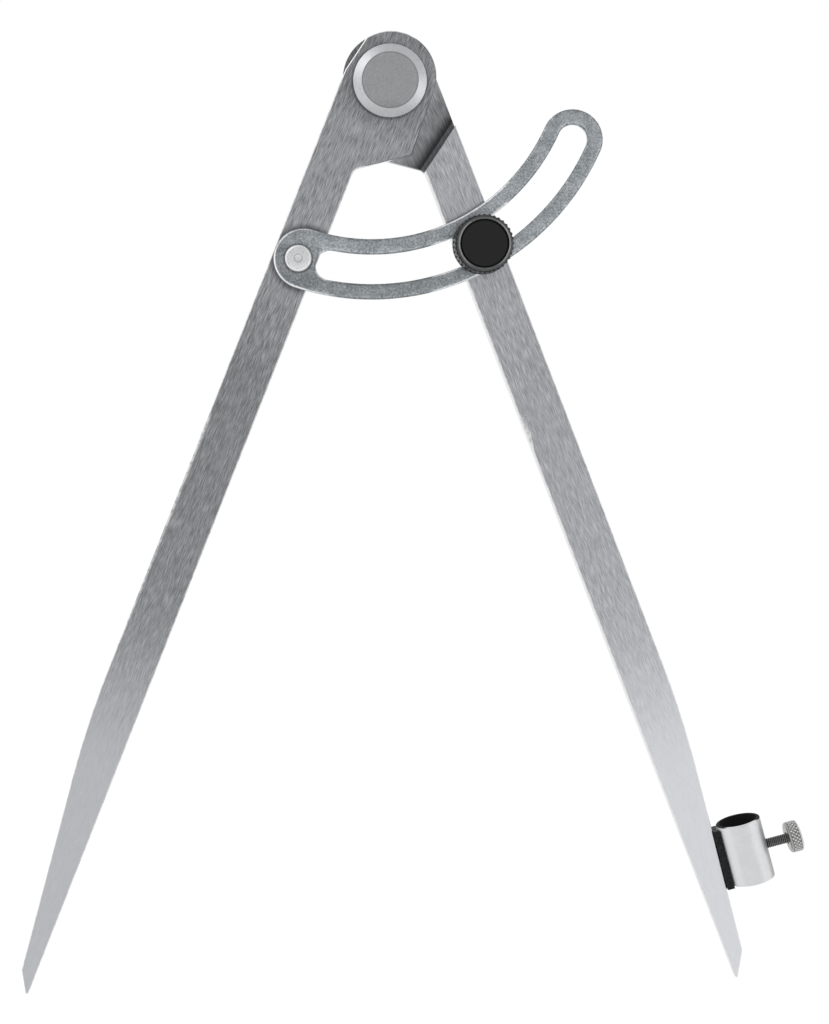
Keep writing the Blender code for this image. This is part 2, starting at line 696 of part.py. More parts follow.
def build():
    clear_scene()
    leg_steel = material("leg_steel", (0.42, 0.42, 0.41), 1.0, 0.42)
    rivet_steel = material("rivet_steel", (0.5, 0.5, 0.5), 1.0, 0.38)
    zinc = material("zinc_plate", (0.5, 0.54, 0.57), 1.0, 0.34)
    bright = material("bright_rivet", (0.66, 0.66, 0.66), 1.0, 0.3)
    nickel = material("knob_nickel", (0.24, 0.24, 0.25), 1.0, 0.36)
    black = material("cap_black", (0.03, 0.03, 0.032), 0.0, 0.5)
    brass = material("insert_brass", (0.6, 0.45, 0.2), 1.0, 0.35)
    satin = material("tube_steel", (0.62, 0.61, 0.6), 1.0, 0.3)
    dark = material("bracket_dark", (0.05, 0.05, 0.05), 0.6, 0.5)
    shank = material("shank_steel", (0.2, 0.2, 0.2), 1.0, 0.4)
    screw = material("thumbscrew_steel", (0.52, 0.51, 0.49), 1.0, 0.34)

    drawing = empty("drawing", turn=(math.pi / 2, 0, 0))
    left = empty("left_leg_axis", drawing, turn=(0, 0, LEFT_REST_ANGLE))
    right = empty("right_leg_axis", drawing, turn=(0, 0, RIGHT_REST_ANGLE))
    rivet_place = leg_point(-1, WING_RIVET_ACROSS, WING_RIVET_ALONG)
    wing_axis = empty("wing_axis", left, (*rivet_place, 0), (0, 0, -LEFT_REST_ANGLE))
    clamp_place = leg_point(1, STUD_ACROSS, STUD_ALONG)
    clamp_axis = empty("clamp_axis", right, (*clamp_place, 0))

    make_left_leg(left, leg_steel)
    make_right_leg(right, leg_steel)
    make_pivot(drawing, rivet_steel)
    make_wing(wing_axis, zinc)
    make_wing_rivet(wing_axis, bright)
    make_clamp(clamp_axis, rivet_steel, nickel, black, brass)
    make_pencil_holder(right, satin, dark)
    make_thumbscrew(right, screw, shank)


build()
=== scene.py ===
"""The looks of a wing compass with a pencil holder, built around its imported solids.

Each piece is modelled in the drawing of the part that carries it. Drawing x runs right, drawing y
runs up and drawing z comes towards the viewer, counted from the flat rear face of the pivot's
washer. A place matrix puts that drawing into the upright frame, where drawing y is Z and drawing z
is -Y. All sizes are in metres.
"""

import math

import bmesh
import bpy
from mathutils import Matrix, Vector


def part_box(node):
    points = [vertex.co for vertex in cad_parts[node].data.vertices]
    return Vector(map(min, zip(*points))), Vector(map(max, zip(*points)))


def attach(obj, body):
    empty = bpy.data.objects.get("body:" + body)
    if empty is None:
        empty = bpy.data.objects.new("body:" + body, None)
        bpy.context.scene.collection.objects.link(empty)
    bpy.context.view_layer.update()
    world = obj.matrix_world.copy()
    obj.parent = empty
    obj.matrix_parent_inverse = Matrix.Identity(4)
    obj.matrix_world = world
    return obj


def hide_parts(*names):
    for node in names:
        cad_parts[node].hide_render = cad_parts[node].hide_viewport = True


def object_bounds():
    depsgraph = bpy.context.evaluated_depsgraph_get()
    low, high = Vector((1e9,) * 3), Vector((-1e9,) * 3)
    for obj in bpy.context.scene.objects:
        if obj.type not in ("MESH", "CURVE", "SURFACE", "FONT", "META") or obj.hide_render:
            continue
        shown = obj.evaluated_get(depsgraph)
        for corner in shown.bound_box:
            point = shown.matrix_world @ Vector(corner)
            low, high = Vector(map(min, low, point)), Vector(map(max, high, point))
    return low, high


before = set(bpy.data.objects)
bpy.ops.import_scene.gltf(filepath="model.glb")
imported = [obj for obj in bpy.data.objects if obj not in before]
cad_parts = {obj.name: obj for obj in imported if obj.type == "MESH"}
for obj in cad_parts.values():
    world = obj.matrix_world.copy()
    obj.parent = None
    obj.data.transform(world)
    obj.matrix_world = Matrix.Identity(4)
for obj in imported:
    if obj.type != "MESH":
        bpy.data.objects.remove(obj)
cad_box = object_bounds()

# Clearances, as in the solids
SEAT_GAP = 0.0003
BORE_CLEARANCE = 0.0003
CUT_OVERRUN = 0.001

# Legs
LEG_WIDTH = 0.0108
LEFT_REACH = 0.2398
RIGHT_REACH = 0.23465
LEFT_REST_ANGLE = math.radians(-21.57)
RIGHT_REST_ANGLE = math.radians(21.07)
LEG_EDGE_RADIUS = 0.0003
EDGE_OFF_PIVOT = 0.00025
HEAD_BEYOND_PIVOT = 0.00116
HEAD_RADIUS = 0.0111
LUG_REACH = 0.0117
LUG_DEPTH = 0.0158
CROTCH_DEPTH = 0.0241
CROTCH_FILLET = 0.0024
STEP_CHAMFER = 0.00025
LEFT_HEAD_FLAT_ANGLE = math.radians(37.0)
LEFT_HEAD_FLAT_END = 0.0024

# Points
LEFT_TAPER_LENGTH = 0.0668
RIGHT_TAPER_LENGTH = 0.0638
TAPER_ANGLE = math.radians(6.7)
TAPER_ROUND = 0.014
TIP_FACET_ANGLE = math.radians(31.0)
TIP_BLUNT = 0.0005
TIP_WEAR = 0.00003
THINNING_START = 0.152
TIP_THICKNESS = 0.0022

# Ground facets on the left front edge of each leg
RIGHT_FACET_START = 0.0886
RIGHT_FACET_LENGTH = 0.0104
RIGHT_FACET_WIDTH = 0.0018
LEFT_FACET_START = 0.0919
LEFT_FACET_LENGTH = 0.062
LEFT_FACET_WIDTH = 0.0013
LEFT_FACET_END_WIDTH = 0.0006

# Pivot rivet and its rear washer
PIVOT_SHANK_RADIUS = 0.0032
PIVOT_HEAD_RADIUS = 0.0089
PIVOT_HEAD_CHAMFER = 0.0021
PIVOT_CORNER_RADIUS = 0.0002
REAR_WASHER_RADIUS = 0.0086
REAR_WASHER_CHAMFER = 0.0012

# Wing plate
WING_RADIUS = 0.05306
WING_WIDTH = 0.0146
SLOT_WIDTH = 0.0071
RIVET_TO_SLOT_ANGLE = math.radians(8.5)
RIVET_TO_WING_END_ANGLE = math.radians(1.4)
RIVET_TO_FAR_END_ANGLE = math.radians(85.2)
RIVET_OFF_ARC = 0.0004
STUD_OFF_SLOT_CENTRE = 0.0011
WING_EDGE_RADIUS = 0.00055
WING_RIVET_ALONG = 0.04924
WING_RIVET_ACROSS = 0.00456
WING_RIVET_RADIUS = 0.0018
WING_RIVET_HEAD_RADIUS = 0.0032
WING_RIVET_CORNER_RADIUS = 0.0006
WING_RIVET_DIMPLE_RADIUS = 0.001
WING_RIVET_DIMPLE_DEPTH = 0.00012

# Clamp
STUD_ALONG = 0.04622
STUD_ACROSS = 0.00592
STUD_RADIUS = 0.0019
STUD_HEAD_RADIUS = 0.004
STUD_HEAD_HEIGHT = 0.0018
STUD_CORNER_RADIUS = 0.0007
CLAMP_WASHER_RADIUS = 0.0058
KNOB_RADIUS = 0.0071
KNOB_TEETH = 36
KNOB_TOOTH_DEPTH = 0.00035
KNOB_RIM_WIDTH = 0.001
KNOB_SHOULDER_WIDTH = 0.0006
KNOB_SHOULDER_DEPTH = 0.0012
KNOB_FOOT_RADIUS = 0.0003
KNOB_SHOULDER_RADIUS = 0.0003
KNURL_RUN_OUT = 0.0004
CAP_CORNER_RADIUS = 0.0003
INSERT_WALL = 0.0014
SMALL_CORNER_RADIUS = 0.00012

# Pencil holder
TUBE_FROM_TIP = 0.0288
TUBE_LEG_GAP = 0.0015
TUBE_RADIUS = 0.0054
TUBE_WALL = 0.0008
TUBE_LENGTH = 0.01475
TUBE_LIP_RADIUS = 0.0003
TUBE_ANGLE_TO_LEG = math.radians(-6.2)
SADDLE_DEPTH = 0.0056
SADDLE_TO_AXIS = 0.0051
SADDLE_LENGTH = 0.0145
SADDLE_BELOW_MIDDLE = 0.0005
SADDLE_EDGE_RADIUS = 0.0004

# Thumbscrew
SCREW_RADIUS = 0.0012
SCREW_OFFSET = 0.0001
SCREW_REACH_IN = 0.0012
SCREW_SHANK_SHOWN = 0.0051
SCREW_PITCH = 0.00045
SCREW_THREAD_DEPTH = 0.00016
SCREW_HEAD_RADIUS = 0.0038
SCREW_HEAD_LENGTH = 0.0033
SCREW_HEAD_CHAMFER = 0.0006
SCREW_HEAD_CORNER_RADIUS = 0.0009
SCREW_HEAD_SOCKET = 0.0012
SCREW_TOOTH_DEPTH = 0.0003
SCREW_HEAD_TEETH = 24

# Grinding of the legs: its size, and where its looks change, from and to a height below the pivot
GRAIN_LINE_WIDTH = 0.00014
GRAIN_LINE_LENGTH = 0.003
GRAIN_PATCH_SIZE = 0.003
PIT_SCALE = 0.23
FINE_GRINDING = (0.132, 0.185)
CALM_GRINDING = (0.05, 0.1)
DARK_MIDDLE = (0.04, 0.085)
DARK_HEAD = (0.014, 0.007)

# Painted shade on the right leg's lap, from and to a distance above the foot of the step
LAP_MARGIN = 0.00005
LAP_CLEARING = (0.0012, 0.0048)
LAP_CLEAR = (0.005, 0.0095)
LAP_FOOT = (0.0013, 0.0009)
LAP_TOP = (0.016, 0.026)

# Marks on the left leg's head, with painted highlight and painted shade, from and to a place across or
# below the pivot
LUG_SIDE = (0.001, 0.003)
FLAT_SIDE = (-0.004, -0.007)
FLAT_BELOW = (0.006, 0.001)
PIVOT_SHADE_SIDE = (0.004, -0.006)

# Painted shade by edges, from and to a distance beyond them
PIVOT_RIM = (0.0007, 0.0001)
PIVOT_SURROUND = (0.0035, 0.0)
WING_SURROUND = (0.0018, 0.0)
WING_LINE = (0.0007, 0.0001)
RIVET_RIM = (0.0007, 0.0002)
CORNER_RING_INSIDE = (-0.0003, -0.0001)
CORNER_RING_OUTSIDE = (0.0002, 0.0)

# Looks of the wing, from and to a place right of its rivet, above it or round it
DULL_ARM = (0.06, 0.025)
DULL_END = (0.006, 0.0)
BRIGHT_EDGE_END = (0.012, -0.002)
BRIGHT_EDGE_BELOW = (0.004, -0.001)
BRIGHT_EDGE_ROUND = (0.0046, 0.0058)
OVER_LEG_LEFT = (0.031, 0.035)
OVER_LEG_RIGHT = (0.052, 0.048)

# Looks of the knob, from and to a distance beyond its edge, or sideways from its middle
KNOB_RIM = (-0.0004, -0.0007)
KNOB_LIP = (-0.0008, -0.001)
KNOB_POCKET = (-0.00122, -0.0013)
LIP_SIDES = (0.002, 0.0055)

# Looks of the tube, from and to a distance beyond its bore or its edge, or a place across it
BORE_EDGE = (0.00005, 0.00025)
END_FACE = (-0.00001, -0.00006)
END_FACE_BACK = (-0.0042, -0.003)
HIGHLIGHT_NEAR = (0.001, 0.0028)
HIGHLIGHT_FAR = (0.0044, 0.0034)
NEAR_SADDLE = (-0.0022, -0.0042)
FAR_SIDE = (0.0036, 0.0051)

# Looks of other turned pieces
# Painted shade low down on a turned piece, from and to a height below its middle
SHADE_LOW_DOWN = (-0.004, -0.008)
KNURL_END_FADE = 0.0002
KNURL_CREST_SHARE = 0.3

# Directions that a surface faces, from and to a share of the normal
FACING_FRONT = (-0.5, -0.9)
FACING_SOFTLY_FRONT = (-0.3, -0.8)
WALL_FACING = (0.2, 0.05)
OFF_WALL = (0.1, 0.35)
OFF_FACE = (0.995, 0.93)
OUTER_FACING = (0.0, 0.4)

# Levels of noise, and of wear and painted highlight, that a mark begins and ends at, and how fine the
# breaks along edges are
PIT_LEVELS = (0.70, 0.76)
SPARED_LEVELS = (0.45, 0.62)
TONE_LEVELS = (0.3, 0.7)
ZINC_CRYSTAL_LEVELS = (0.41, 0.61)
ZINC_CLOUD_LEVELS = (0.38, 0.62)
SPECK_LEVELS = (0.54, 0.64)
WORN_LEVELS = (0.4, 0.65)
BRACKET_LEVELS = (0.45, 0.7)
NICKEL_LEVELS = (0.42, 0.6)
DIM_EDGE_LEVELS = (0.3, 0.0)
UNSHADED_LEVELS = (0.9, 1.0)
EDGE_BREAK_SCALE = 700.0

# Colours that are laid over a metal
BLACK = (0.0, 0.0, 0.0)
LUG_EDGE_DARK = (0.05, 0.05, 0.05)
FLAT_HIGHLIGHT = (0.97, 0.97, 0.97)
LEG_EDGE_WEAR_AND_HIGHLIGHT = (0.88, 0.88, 0.87)
INNER_WALL_REFLECTION = (0.84, 0.84, 0.85)
OUTER_WALL_REFLECTION = (0.5, 0.505, 0.52)
ZINC_WEAR_AND_HIGHLIGHT = (0.97, 0.975, 0.98)
KNURL_GROOVE_SHADE = (0.1, 0.1, 0.098)

# How finely round shapes are cut
HEAD_STEPS = 96
FILLET_STEPS = 12
EDGE_STEPS = 4
WING_STEPS = 48
CORNER_STEPS = 5
FINE_SIDES = 128
SMALL_SIDES = 64
TOOTH_STEPS = 8
SHARP_ANGLE = math.radians(35.0)
AXIS_RADIUS = 1e-7
SEAM_DISTANCE = 1e-6
BARREL_SHARE = 0.9

# Finished pieces that have a shorter name than their solid's node
SHORTER_NAMES = {"pivot_rear_washer": "rear_washer"}

# Camera, looking straight along +Y at the photograph's distance
CAMERA_PLACE = (-0.0186, -0.4687, -0.06476)
CAMERA_LENS = 66.8
CAMERA_SHIFT = (0.0992, -0.1593)

UPRIGHT = Matrix.Rotation(math.pi / 2, 4, "X")


def depths(node):
    """A solid's rear and front face, as heights in the drawing."""
    low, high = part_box(node)
    return -high.y, -low.y


leg_back, leg_front = depths("left_leg")
leg_middle = (leg_back + leg_front) / 2
wing_back, wing_front = depths("wing_plate")
pivot_back, pivot_front = depths("pivot_rivet")
rear_washer_back, rear_washer_front = depths("pivot_rear_washer")
rivet_back, rivet_front = depths("wing_rivet")
stud_back, stud_front = depths("clamp_stud")
washer_back, washer_front = depths("clamp_washer")
knob_back, knob_front = depths("knob_body")
insert_back, insert_front = depths("knob_insert")
cap_back, cap_front = depths("knob_cap")


# Places of the drawings


def turn(angle):
    return Matrix.Rotation(angle, 4, "Z")


def leg_point(side, across, along):
    """A place on a leg: outwards from its inner edge, and along it from its head's centre."""
    return Vector((side * (across + EDGE_OFF_PIVOT), HEAD_BEYOND_PIVOT - along, 0))


def step_slope():
    """The angle of the line along a lap's step."""
    return math.atan2(CROTCH_DEPTH - LUG_DEPTH, LUG_REACH)


def tapered_width(from_tip, length):
    """The leg's width where its outer edge runs straight to the point."""
    return LEG_WIDTH - (length - from_tip) * math.tan(TAPER_ANGLE)


def tube_place():
    """The middle of the tube in the right leg's drawing, and the direction away from the leg."""
    width = tapered_width(TUBE_FROM_TIP, RIGHT_TAPER_LENGTH)
    edge = leg_point(1, width, RIGHT_REACH - TUBE_FROM_TIP)
    away = Vector((math.cos(TUBE_ANGLE_TO_LEG), math.sin(TUBE_ANGLE_TO_LEG), 0))
    return edge + away * (TUBE_LEG_GAP + TUBE_RADIUS), away


left_place = UPRIGHT @ turn(LEFT_REST_ANGLE)
right_place = UPRIGHT @ turn(RIGHT_REST_ANGLE)
rivet_point = turn(LEFT_REST_ANGLE) @ leg_point(-1, WING_RIVET_ACROSS, WING_RIVET_ALONG)
stud_point = turn(RIGHT_REST_ANGLE) @ leg_point(1, STUD_ACROSS, STUD_ALONG)
rivet_place = UPRIGHT @ Matrix.Translation(rivet_point)
stud_place = UPRIGHT @ Matrix.Translation(stud_point)
tube_middle, tube_away = tube_place()
tube_down = Vector((tube_away.y, -tube_away.x, 0))
on_middle = Vector((0, 0, leg_middle))


def lying(middle, heading):
    """A drawing of the right leg's whose z axis lies in the leg's plane, along the heading."""
    angle = math.atan2(heading.y, heading.x)
    lie = turn(angle) @ Matrix.Rotation(math.pi / 2, 4, "Y")
    return right_place @ Matrix.Translation(middle + on_middle) @ lie


tube_lie = lying(tube_middle, tube_down)
screw_lie = lying(tube_middle - tube_down * SCREW_OFFSET, tube_away)


# Meshes


def arc(centre, radius, start, end, steps):
    """Points on an arc, both ends included."""
    angles = [start + (end - start) * i / steps for i in range(steps + 1)]
    return [
        (centre[0] + radius * math.cos(a), centre[1] + radius * math.sin(a)) for a in angles
    ]


def signed_area(outline):
    pairs = zip(outline, outline[1:] + outline[:1])
    return sum(a[0] * b[1] - a[1] * b[0] for a, b in pairs) / 2


def inset(outline, distance):
    """An anticlockwise outline moved inwards, with its corners mitred."""
    moved = []
    for i, point in enumerate(outline):
        here = Vector(point)
        before = (here - Vector(outline[i - 1])).normalized()
        after = (Vector(outline[(i + 1) % len(outline)]) - here).normalized()
        inwards = Vector((-before.y - after.y, before.x + after.x))
        moved.append(here + inwards * (2 * distance / inwards.length_squared))
    return moved


def skin(shape, rings, closed):
    """Faces between each ring of corners and the next."""
    following = rings[1:] + rings[:1] if closed else rings[1:]
    for lower, upper in zip(rings, following):
        for i in range(len(lower)):
            j = (i + 1) % len(lower)
            corners = list(dict.fromkeys([lower[i], lower[j], upper[j], upper[i]]))
            if len(corners) > 2:
                shape.faces.new(corners)


def rounded_plate(outline, low, high, radius):
    """A plate with this outline whose long edges are rounded."""
    if signed_area(outline) < 0:
        outline = outline[::-1]
    levels = []
    for i in range(EDGE_STEPS + 1):
        angle = math.pi / 2 * i / EDGE_STEPS
        levels.append((radius * (1 - math.sin(angle)), radius * (1 - math.cos(angle))))
    heights = [(back, low + rise) for back, rise in levels]
    heights += [(back, high - rise) for back, rise in reversed(levels)]
    shape = bmesh.new()
    rings = []
    for back, height in heights:
        rings.append([shape.verts.new((*point, height)) for point in inset(outline, back)])
    skin(shape, rings, closed=False)
    shape.faces.new(rings[0][::-1])
    shape.faces.new(rings[-1])
    return shape


def hull(points):
    shape = bmesh.new()
    for point in points:
        shape.verts.new(point)
    bmesh.ops.convex_hull(shape, input=shape.verts)
    return shape


def rounded_profile(profile):
    """Profile corners of (radius, height, corner radius), with each corner made an arc."""
    points = []
    for i, (radius, height, corner) in enumerate(profile):
        here = Vector((radius, height))
        if not corner:
            points.append(tuple(here))
            continue
        towards = (Vector(profile[i - 1][:2]) - here).normalized()
        onwards = (Vector(profile[(i + 1) % len(profile)][:2]) - here).normalized()
        half = math.acos(max(-1.0, min(1.0, towards.dot(onwards)))) / 2
        centre = here + (towards + onwards).normalized() * (corner / math.sin(half))
        start = here + towards * (corner / math.tan(half)) - centre
        end = here + onwards * (corner / math.tan(half)) - centre
        first = math.atan2(start.y, start.x)
        swing = math.atan2(start.cross(end), start.dot(end))
        points += arc(centre, corner, first, first + swing, CORNER_STEPS)
    return points


def finer(points, step):
    """The same closed profile with no stretch longer than the step."""
    made = []
    for here, after in zip(points, points[1:] + points[:1]):
        length = math.dist(here, after)
        parts = max(1, math.ceil(length / step))
        for i in range(parts):
            share = i / parts
            made.append(tuple(a + (b - a) * share for a, b in zip(here, after)))
    return made


def turned(points, sides):
    """A piece turned round z from a closed profile of (radius, height) points."""
    shape = bmesh.new()
    rings = []
    for radius, height in points:
        if radius < AXIS_RADIUS:
            rings.append([shape.verts.new((0, 0, height))] * sides)
            continue
        angles = [math.tau * i / sides for i in range(sides)]
        ring = [(radius * math.cos(a), radius * math.sin(a), height) for a in angles]
        rings.append([shape.verts.new(point) for point in ring])
    skin(shape, rings, closed=True)
    return shape


def rod(radius, low, high, sides):
    """A plain cylinder round z, mostly to cut with."""
    return turned([(0, low), (radius, low), (radius, high), (0, high)], sides)


def in_scene(name, data):
    """A new object in the scene."""
    made = bpy.data.objects.new(name, data)
    bpy.context.scene.collection.objects.link(made)
    return made


def loose_object(shape):
    """A helper object for a bmesh, which a later call removes."""
    bmesh.ops.recalc_face_normals(shape, faces=shape.faces)
    mesh = bpy.data.meshes.new("helper")
    shape.to_mesh(mesh)
    shape.free()
    return in_scene("helper", mesh)


def applied(target):
    """The object's mesh with its modifiers applied. The object is removed."""
    graph = bpy.context.evaluated_depsgraph_get()
    evaluated = target.evaluated_get(graph)
    mesh = bpy.data.meshes.new_from_object(evaluated, depsgraph=graph)
    bpy.data.objects.remove(target, do_unlink=True)
    return mesh


def carved(shape, cutters):
    """The shape's mesh with the cutters taken out of it."""
    target = loose_object(shape)
    tools = [loose_object(cutter) for cutter in cutters]
    for tool in tools:
        modifier = target.modifiers.new("carve", "BOOLEAN")
        modifier.operation = "DIFFERENCE"
        modifier.solver = "EXACT"
        modifier.object = tool
    mesh = applied(target)
    for tool in tools:
        bpy.data.objects.remove(tool, do_unlink=True)
    return mesh


def piece(node, mesh, place, finish, body):
    """A finished piece in the frame, which rides on its body and stands for its solid."""
    name = SHORTER_NAMES.get(node, node) + "_finish"
    mesh.transform(place)
    mesh.shade_smooth()
    mesh.set_sharp_from_angle(angle=SHARP_ANGLE)
    mesh.materials.clear()
    mesh.materials.append(finish)
    holder = in_scene("helper", mesh)
    weigh = holder.modifiers.new("flat_faces_first", "WEIGHTED_NORMAL")
    weigh.keep_sharp = True
    weigh.weight = 100
    final = applied(holder)
    final.name = name
    made = in_scene(name, final)
    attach(made, body)
    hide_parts(node)


def turned_piece(node, place, finish, body, sides, profile):
    """A piece turned round z from corners of (radius, height, corner radius)."""
    mesh = applied(loose_object(turned(rounded_profile(profile), sides)))
    piece(node, mesh, place, finish, body)


# Node trees


class Value:
    """One output of a node. Arithmetic with it adds further nodes to the same tree."""

    def __init__(self, socket):
        self.socket = socket
        self.tree = socket.id_data

    def __add__(self, other):
        return maths("ADD", self, other)

    def __sub__(self, other):
        return maths("SUBTRACT", self, other)

    def __rsub__(self, other):
        return maths("SUBTRACT", other, self)

    def __mul__(self, other):
        return maths("MULTIPLY", self, other)

    def __truediv__(self, other):
        return maths("DIVIDE", self, other)

    def __rtruediv__(self, other):
        return maths("DIVIDE", other, self)

    def __abs__(self):
        return maths("ABSOLUTE", self)

    __radd__ = __add__
    __rmul__ = __mul__


def feed(socket, value):
    """Gives an input a plain value or another node's output."""
    if isinstance(value, Value):
        value.tree.links.new(value.socket, socket)
    else:
        socket.default_value = value


def put(tree, kind, inputs=None, **settings):
    """A new node with its settings, and its inputs as plain values or as other nodes' outputs."""
    node = tree.nodes.new(kind)
    for name, value in settings.items():
        setattr(node, name, value)
    for name, value in (inputs or {}).items():
        feed(node.inputs[name], value)
    return node


def labelled(values):
    """Keyword names turned into socket names: line_width becomes Line Width."""
    return {name.replace("_", " ").title(): value for name, value in values.items()}


def joined(values, kind, inputs, output=0, **settings):
    """The output of a new node in the tree that these values come from."""
    tree = next(value.tree for value in values if isinstance(value, Value))
    return Value(put(tree, kind, inputs, **settings).outputs[output])


def maths(operation, *values):
    return joined(values, "ShaderNodeMath", dict(enumerate(values)), operation=operation)


def clamped(value):
    return joined([value], "ShaderNodeClamp", {"Value": value})


def blend(factor, low, high):
    """The value that lies between low and high by the factor."""
    return maths("MULTIPLY_ADD", high - low, factor, low)


def fade(value, start, end):
    """0 at the start and 1 at the end, with a smooth run between. The end may be the lower."""
    inputs = {"Value": value, "From Min": start, "From Max": end}
    return joined([value], "ShaderNodeMapRange", inputs, interpolation_type="SMOOTHSTEP")


def by_edge(value, edge, reach):
    """A fade over a range that is counted from an edge."""
    return fade(value, edge + reach[0], edge + reach[1])


def tints(factor, low, high):
    """The colour that lies between two colours by the factor."""
    colours = [c if isinstance(c, Value) else (*c, 1.0) for c in (low, high)]
    inputs = {0: factor, 6: colours[0], 7: colours[1]}
    return joined([factor], "ShaderNodeMix", inputs, output=2, data_type="RGBA")


def darker(colour, share):
    return tints(share, colour, BLACK)


def parts_of(vector):
    """The three coordinates of a vector."""
    outputs = put(vector.tree, "ShaderNodeSeparateXYZ", {0: vector}).outputs
    return [Value(socket) for socket in outputs]


def vector_of(*parts):
    return joined(parts, "ShaderNodeCombineXYZ", dict(enumerate(parts)))


def vector_maths(operation, *vectors, output="Vector"):
    inputs = dict(enumerate(vectors))
    return joined(vectors, "ShaderNodeVectorMath", inputs, output=output, operation=operation)


def measure(operation, *vectors):
    """A number got from vectors: a length, a distance or a product."""
    return vector_maths(operation, *vectors, output="Value")


def noise(vector, scale, **looks):
    inputs = {"Vector": vector, "Scale": scale} | labelled(looks)
    return joined([vector], "ShaderNodeTexNoise", inputs)


FLOAT = "NodeSocketFloat"
INTEGER = "NodeSocketInt"
VECTOR = "NodeSocketVector"
GEOMETRY = "NodeSocketGeometry"
MATERIAL = "NodeSocketMaterial"


def new_group(name, kind, result_type, sockets, make):
    """A node group with these inputs, whose inside and whose outputs a function makes from them."""
    tree = bpy.data.node_groups.new(name, kind)
    for label, socket_type in sockets.items():
        tree.interface.new_socket(name=label, in_out="INPUT", socket_type=socket_type)
    start = tree.nodes.new("NodeGroupInput")
    results = make({label: Value(start.outputs[label]) for label in sockets})
    for label in results:
        tree.interface.new_socket(name=label, in_out="OUTPUT", socket_type=result_type)
    end = tree.nodes.new("NodeGroupOutput")
    for label, value in results.items():
        feed(end.inputs[label], value)
    return tree


def shader_group(name, labels, make):
    """A shared effect on a surface, whose inputs are numbers beside the place and the normal."""
    sockets = {"Vector": VECTOR}
    for label in labels:
        sockets[label] = VECTOR if label == "Normal" else FLOAT
    return new_group(name, "ShaderNodeTree", FLOAT, sockets, make)


# Geometry node trees


def position(tree):
    """The three coordinates of each point."""
    return parts_of(Value(put(tree, "GeometryNodeInputPosition").outputs[0]))


def dressed(geometry, finish):
    """The geometry as plain mesh in its material."""
    solid = joined([geometry], "GeometryNodeRealizeInstances", {"Geometry": geometry})
    return joined([solid], "GeometryNodeSetMaterial", {"Geometry": solid, "Material": finish})


def ridges(given):
    """Cuts V grooves into a barrel round z: one or two hands of them, straight, slanted or a thread."""
    x, y, z = position(given["Barrel"].tree)
    radius = maths("SQRT", maths("POWER", x, 2.0) + maths("POWER", y, 2.0))
    round_phase = maths("ARCTAN2", y, x) / math.tau * given["Ridges"]
    along_phase = z * given["Turns Per Metre"]
    waves = []
    for phase in (round_phase + along_phase, round_phase - along_phase):
        waves.append(abs(maths("MULTIPLY_ADD", maths("FRACT", phase), 2.0, -1.0)))
    second = maths("MAXIMUM", waves[1], 1.0 - given["Crossed"])
    groove = (1.0 - maths("MINIMUM", waves[0], second)) * given["Depth"]
    nearest = maths("MINIMUM", z - given["Low"], given["High"] - z)
    within = clamped(nearest / given["Run Out"])
    outside = maths("GREATER_THAN", radius, given["Least Radius"])
    inwards = groove * (within * outside)
    share = inwards * -1.0 / maths("MAXIMUM", radius, SEAT_GAP)
    scaled = {0: vector_of(x, y), "Scale": share}
    shift = joined([share], "ShaderNodeVectorMath", scaled, operation="SCALE")
    moves = {"Geometry": given["Barrel"], "Offset": shift}
    cut = joined([shift], "GeometryNodeSetPosition", moves)
    return {"Barrel": dressed(cut, given["Finish"])}


def step_sum(walk, *starts):
    """How far a walk has gone along its stretches of length one that begin at these starts."""
    return sum(clamped(walk - start) for start in starts)


def curved_plate(given):
    """A curved plate with round ends and a slot, from a grid wrapped round its section.

    One way across the grid goes round the plate in four stretches: the outer curve, the far end,
    the inner curve and the near end. The other way goes round the rounded section, from the slot's
    wall to the outer wall and back.
    """
    tree = given["Ground"].tree
    counts = [given[label] + 1.0 for label in ("Stretch Steps", "Section Steps")]
    spans = {"Size X": 1.0, "Size Y": 1.0, "Vertices X": counts[0], "Vertices Y": counts[1]}
    sheet = joined(counts, "GeometryNodeMeshGrid", spans)
    x, y, _ = position(tree)
    round_walk = (x + 0.5) * 4.0
    section_walk = (y + 0.5) * 8.0

    edge = given["Edge Radius"]
    flat_across = given["Half Width"] - given["Slot Half Width"] - edge * 2.0
    flat_up = given["Front"] - given["Back"] - edge * 2.0
    turned_by = step_sum(section_walk, 0, 2, 4, 6) * (math.pi / 2)
    share_out = 1.0 - step_sum(section_walk, 1) + step_sum(section_walk, 5)
    share_up = 1.0 - step_sum(section_walk, 3) + step_sum(section_walk, 7)
    swell = maths("MULTIPLY_ADD", maths("COSINE", turned_by), edge, edge)
    rise = maths("MULTIPLY_ADD", maths("SINE", turned_by), edge, edge)
    reach = maths("MULTIPLY_ADD", share_out, flat_across, swell) + given["Slot Half Width"]
    depth = maths("MULTIPLY_ADD", share_up, flat_up, rise) + given["Back"]

    near = blend(share_out, given["Slot Near Angle"], given["Near Angle"])
    gone = step_sum(round_walk, 0) - step_sum(round_walk, 2)
    spine = blend(gone, near, given["Far Angle"])
    heading = maths("MULTIPLY_ADD", step_sum(round_walk, 1, 3), math.pi, spine)
    sides = []
    for wave in ("COSINE", "SINE"):
        on_spine = maths(wave, spine) * given["Radius"]
        sides.append(maths("MULTIPLY_ADD", maths(wave, heading), reach, on_spine))
    wrapped = vector_maths("ADD", vector_of(*sides, depth), given["Centre"])
    moves = {"Geometry": sheet, "Position": wrapped}
    bent = joined([sheet], "GeometryNodeSetPosition", moves)
    seams = {"Geometry": bent, "Distance": SEAM_DISTANCE}
    closed = joined([bent], "GeometryNodeMergeByDistance", seams)
    return {"Plate": dressed(closed, given["Finish"])}


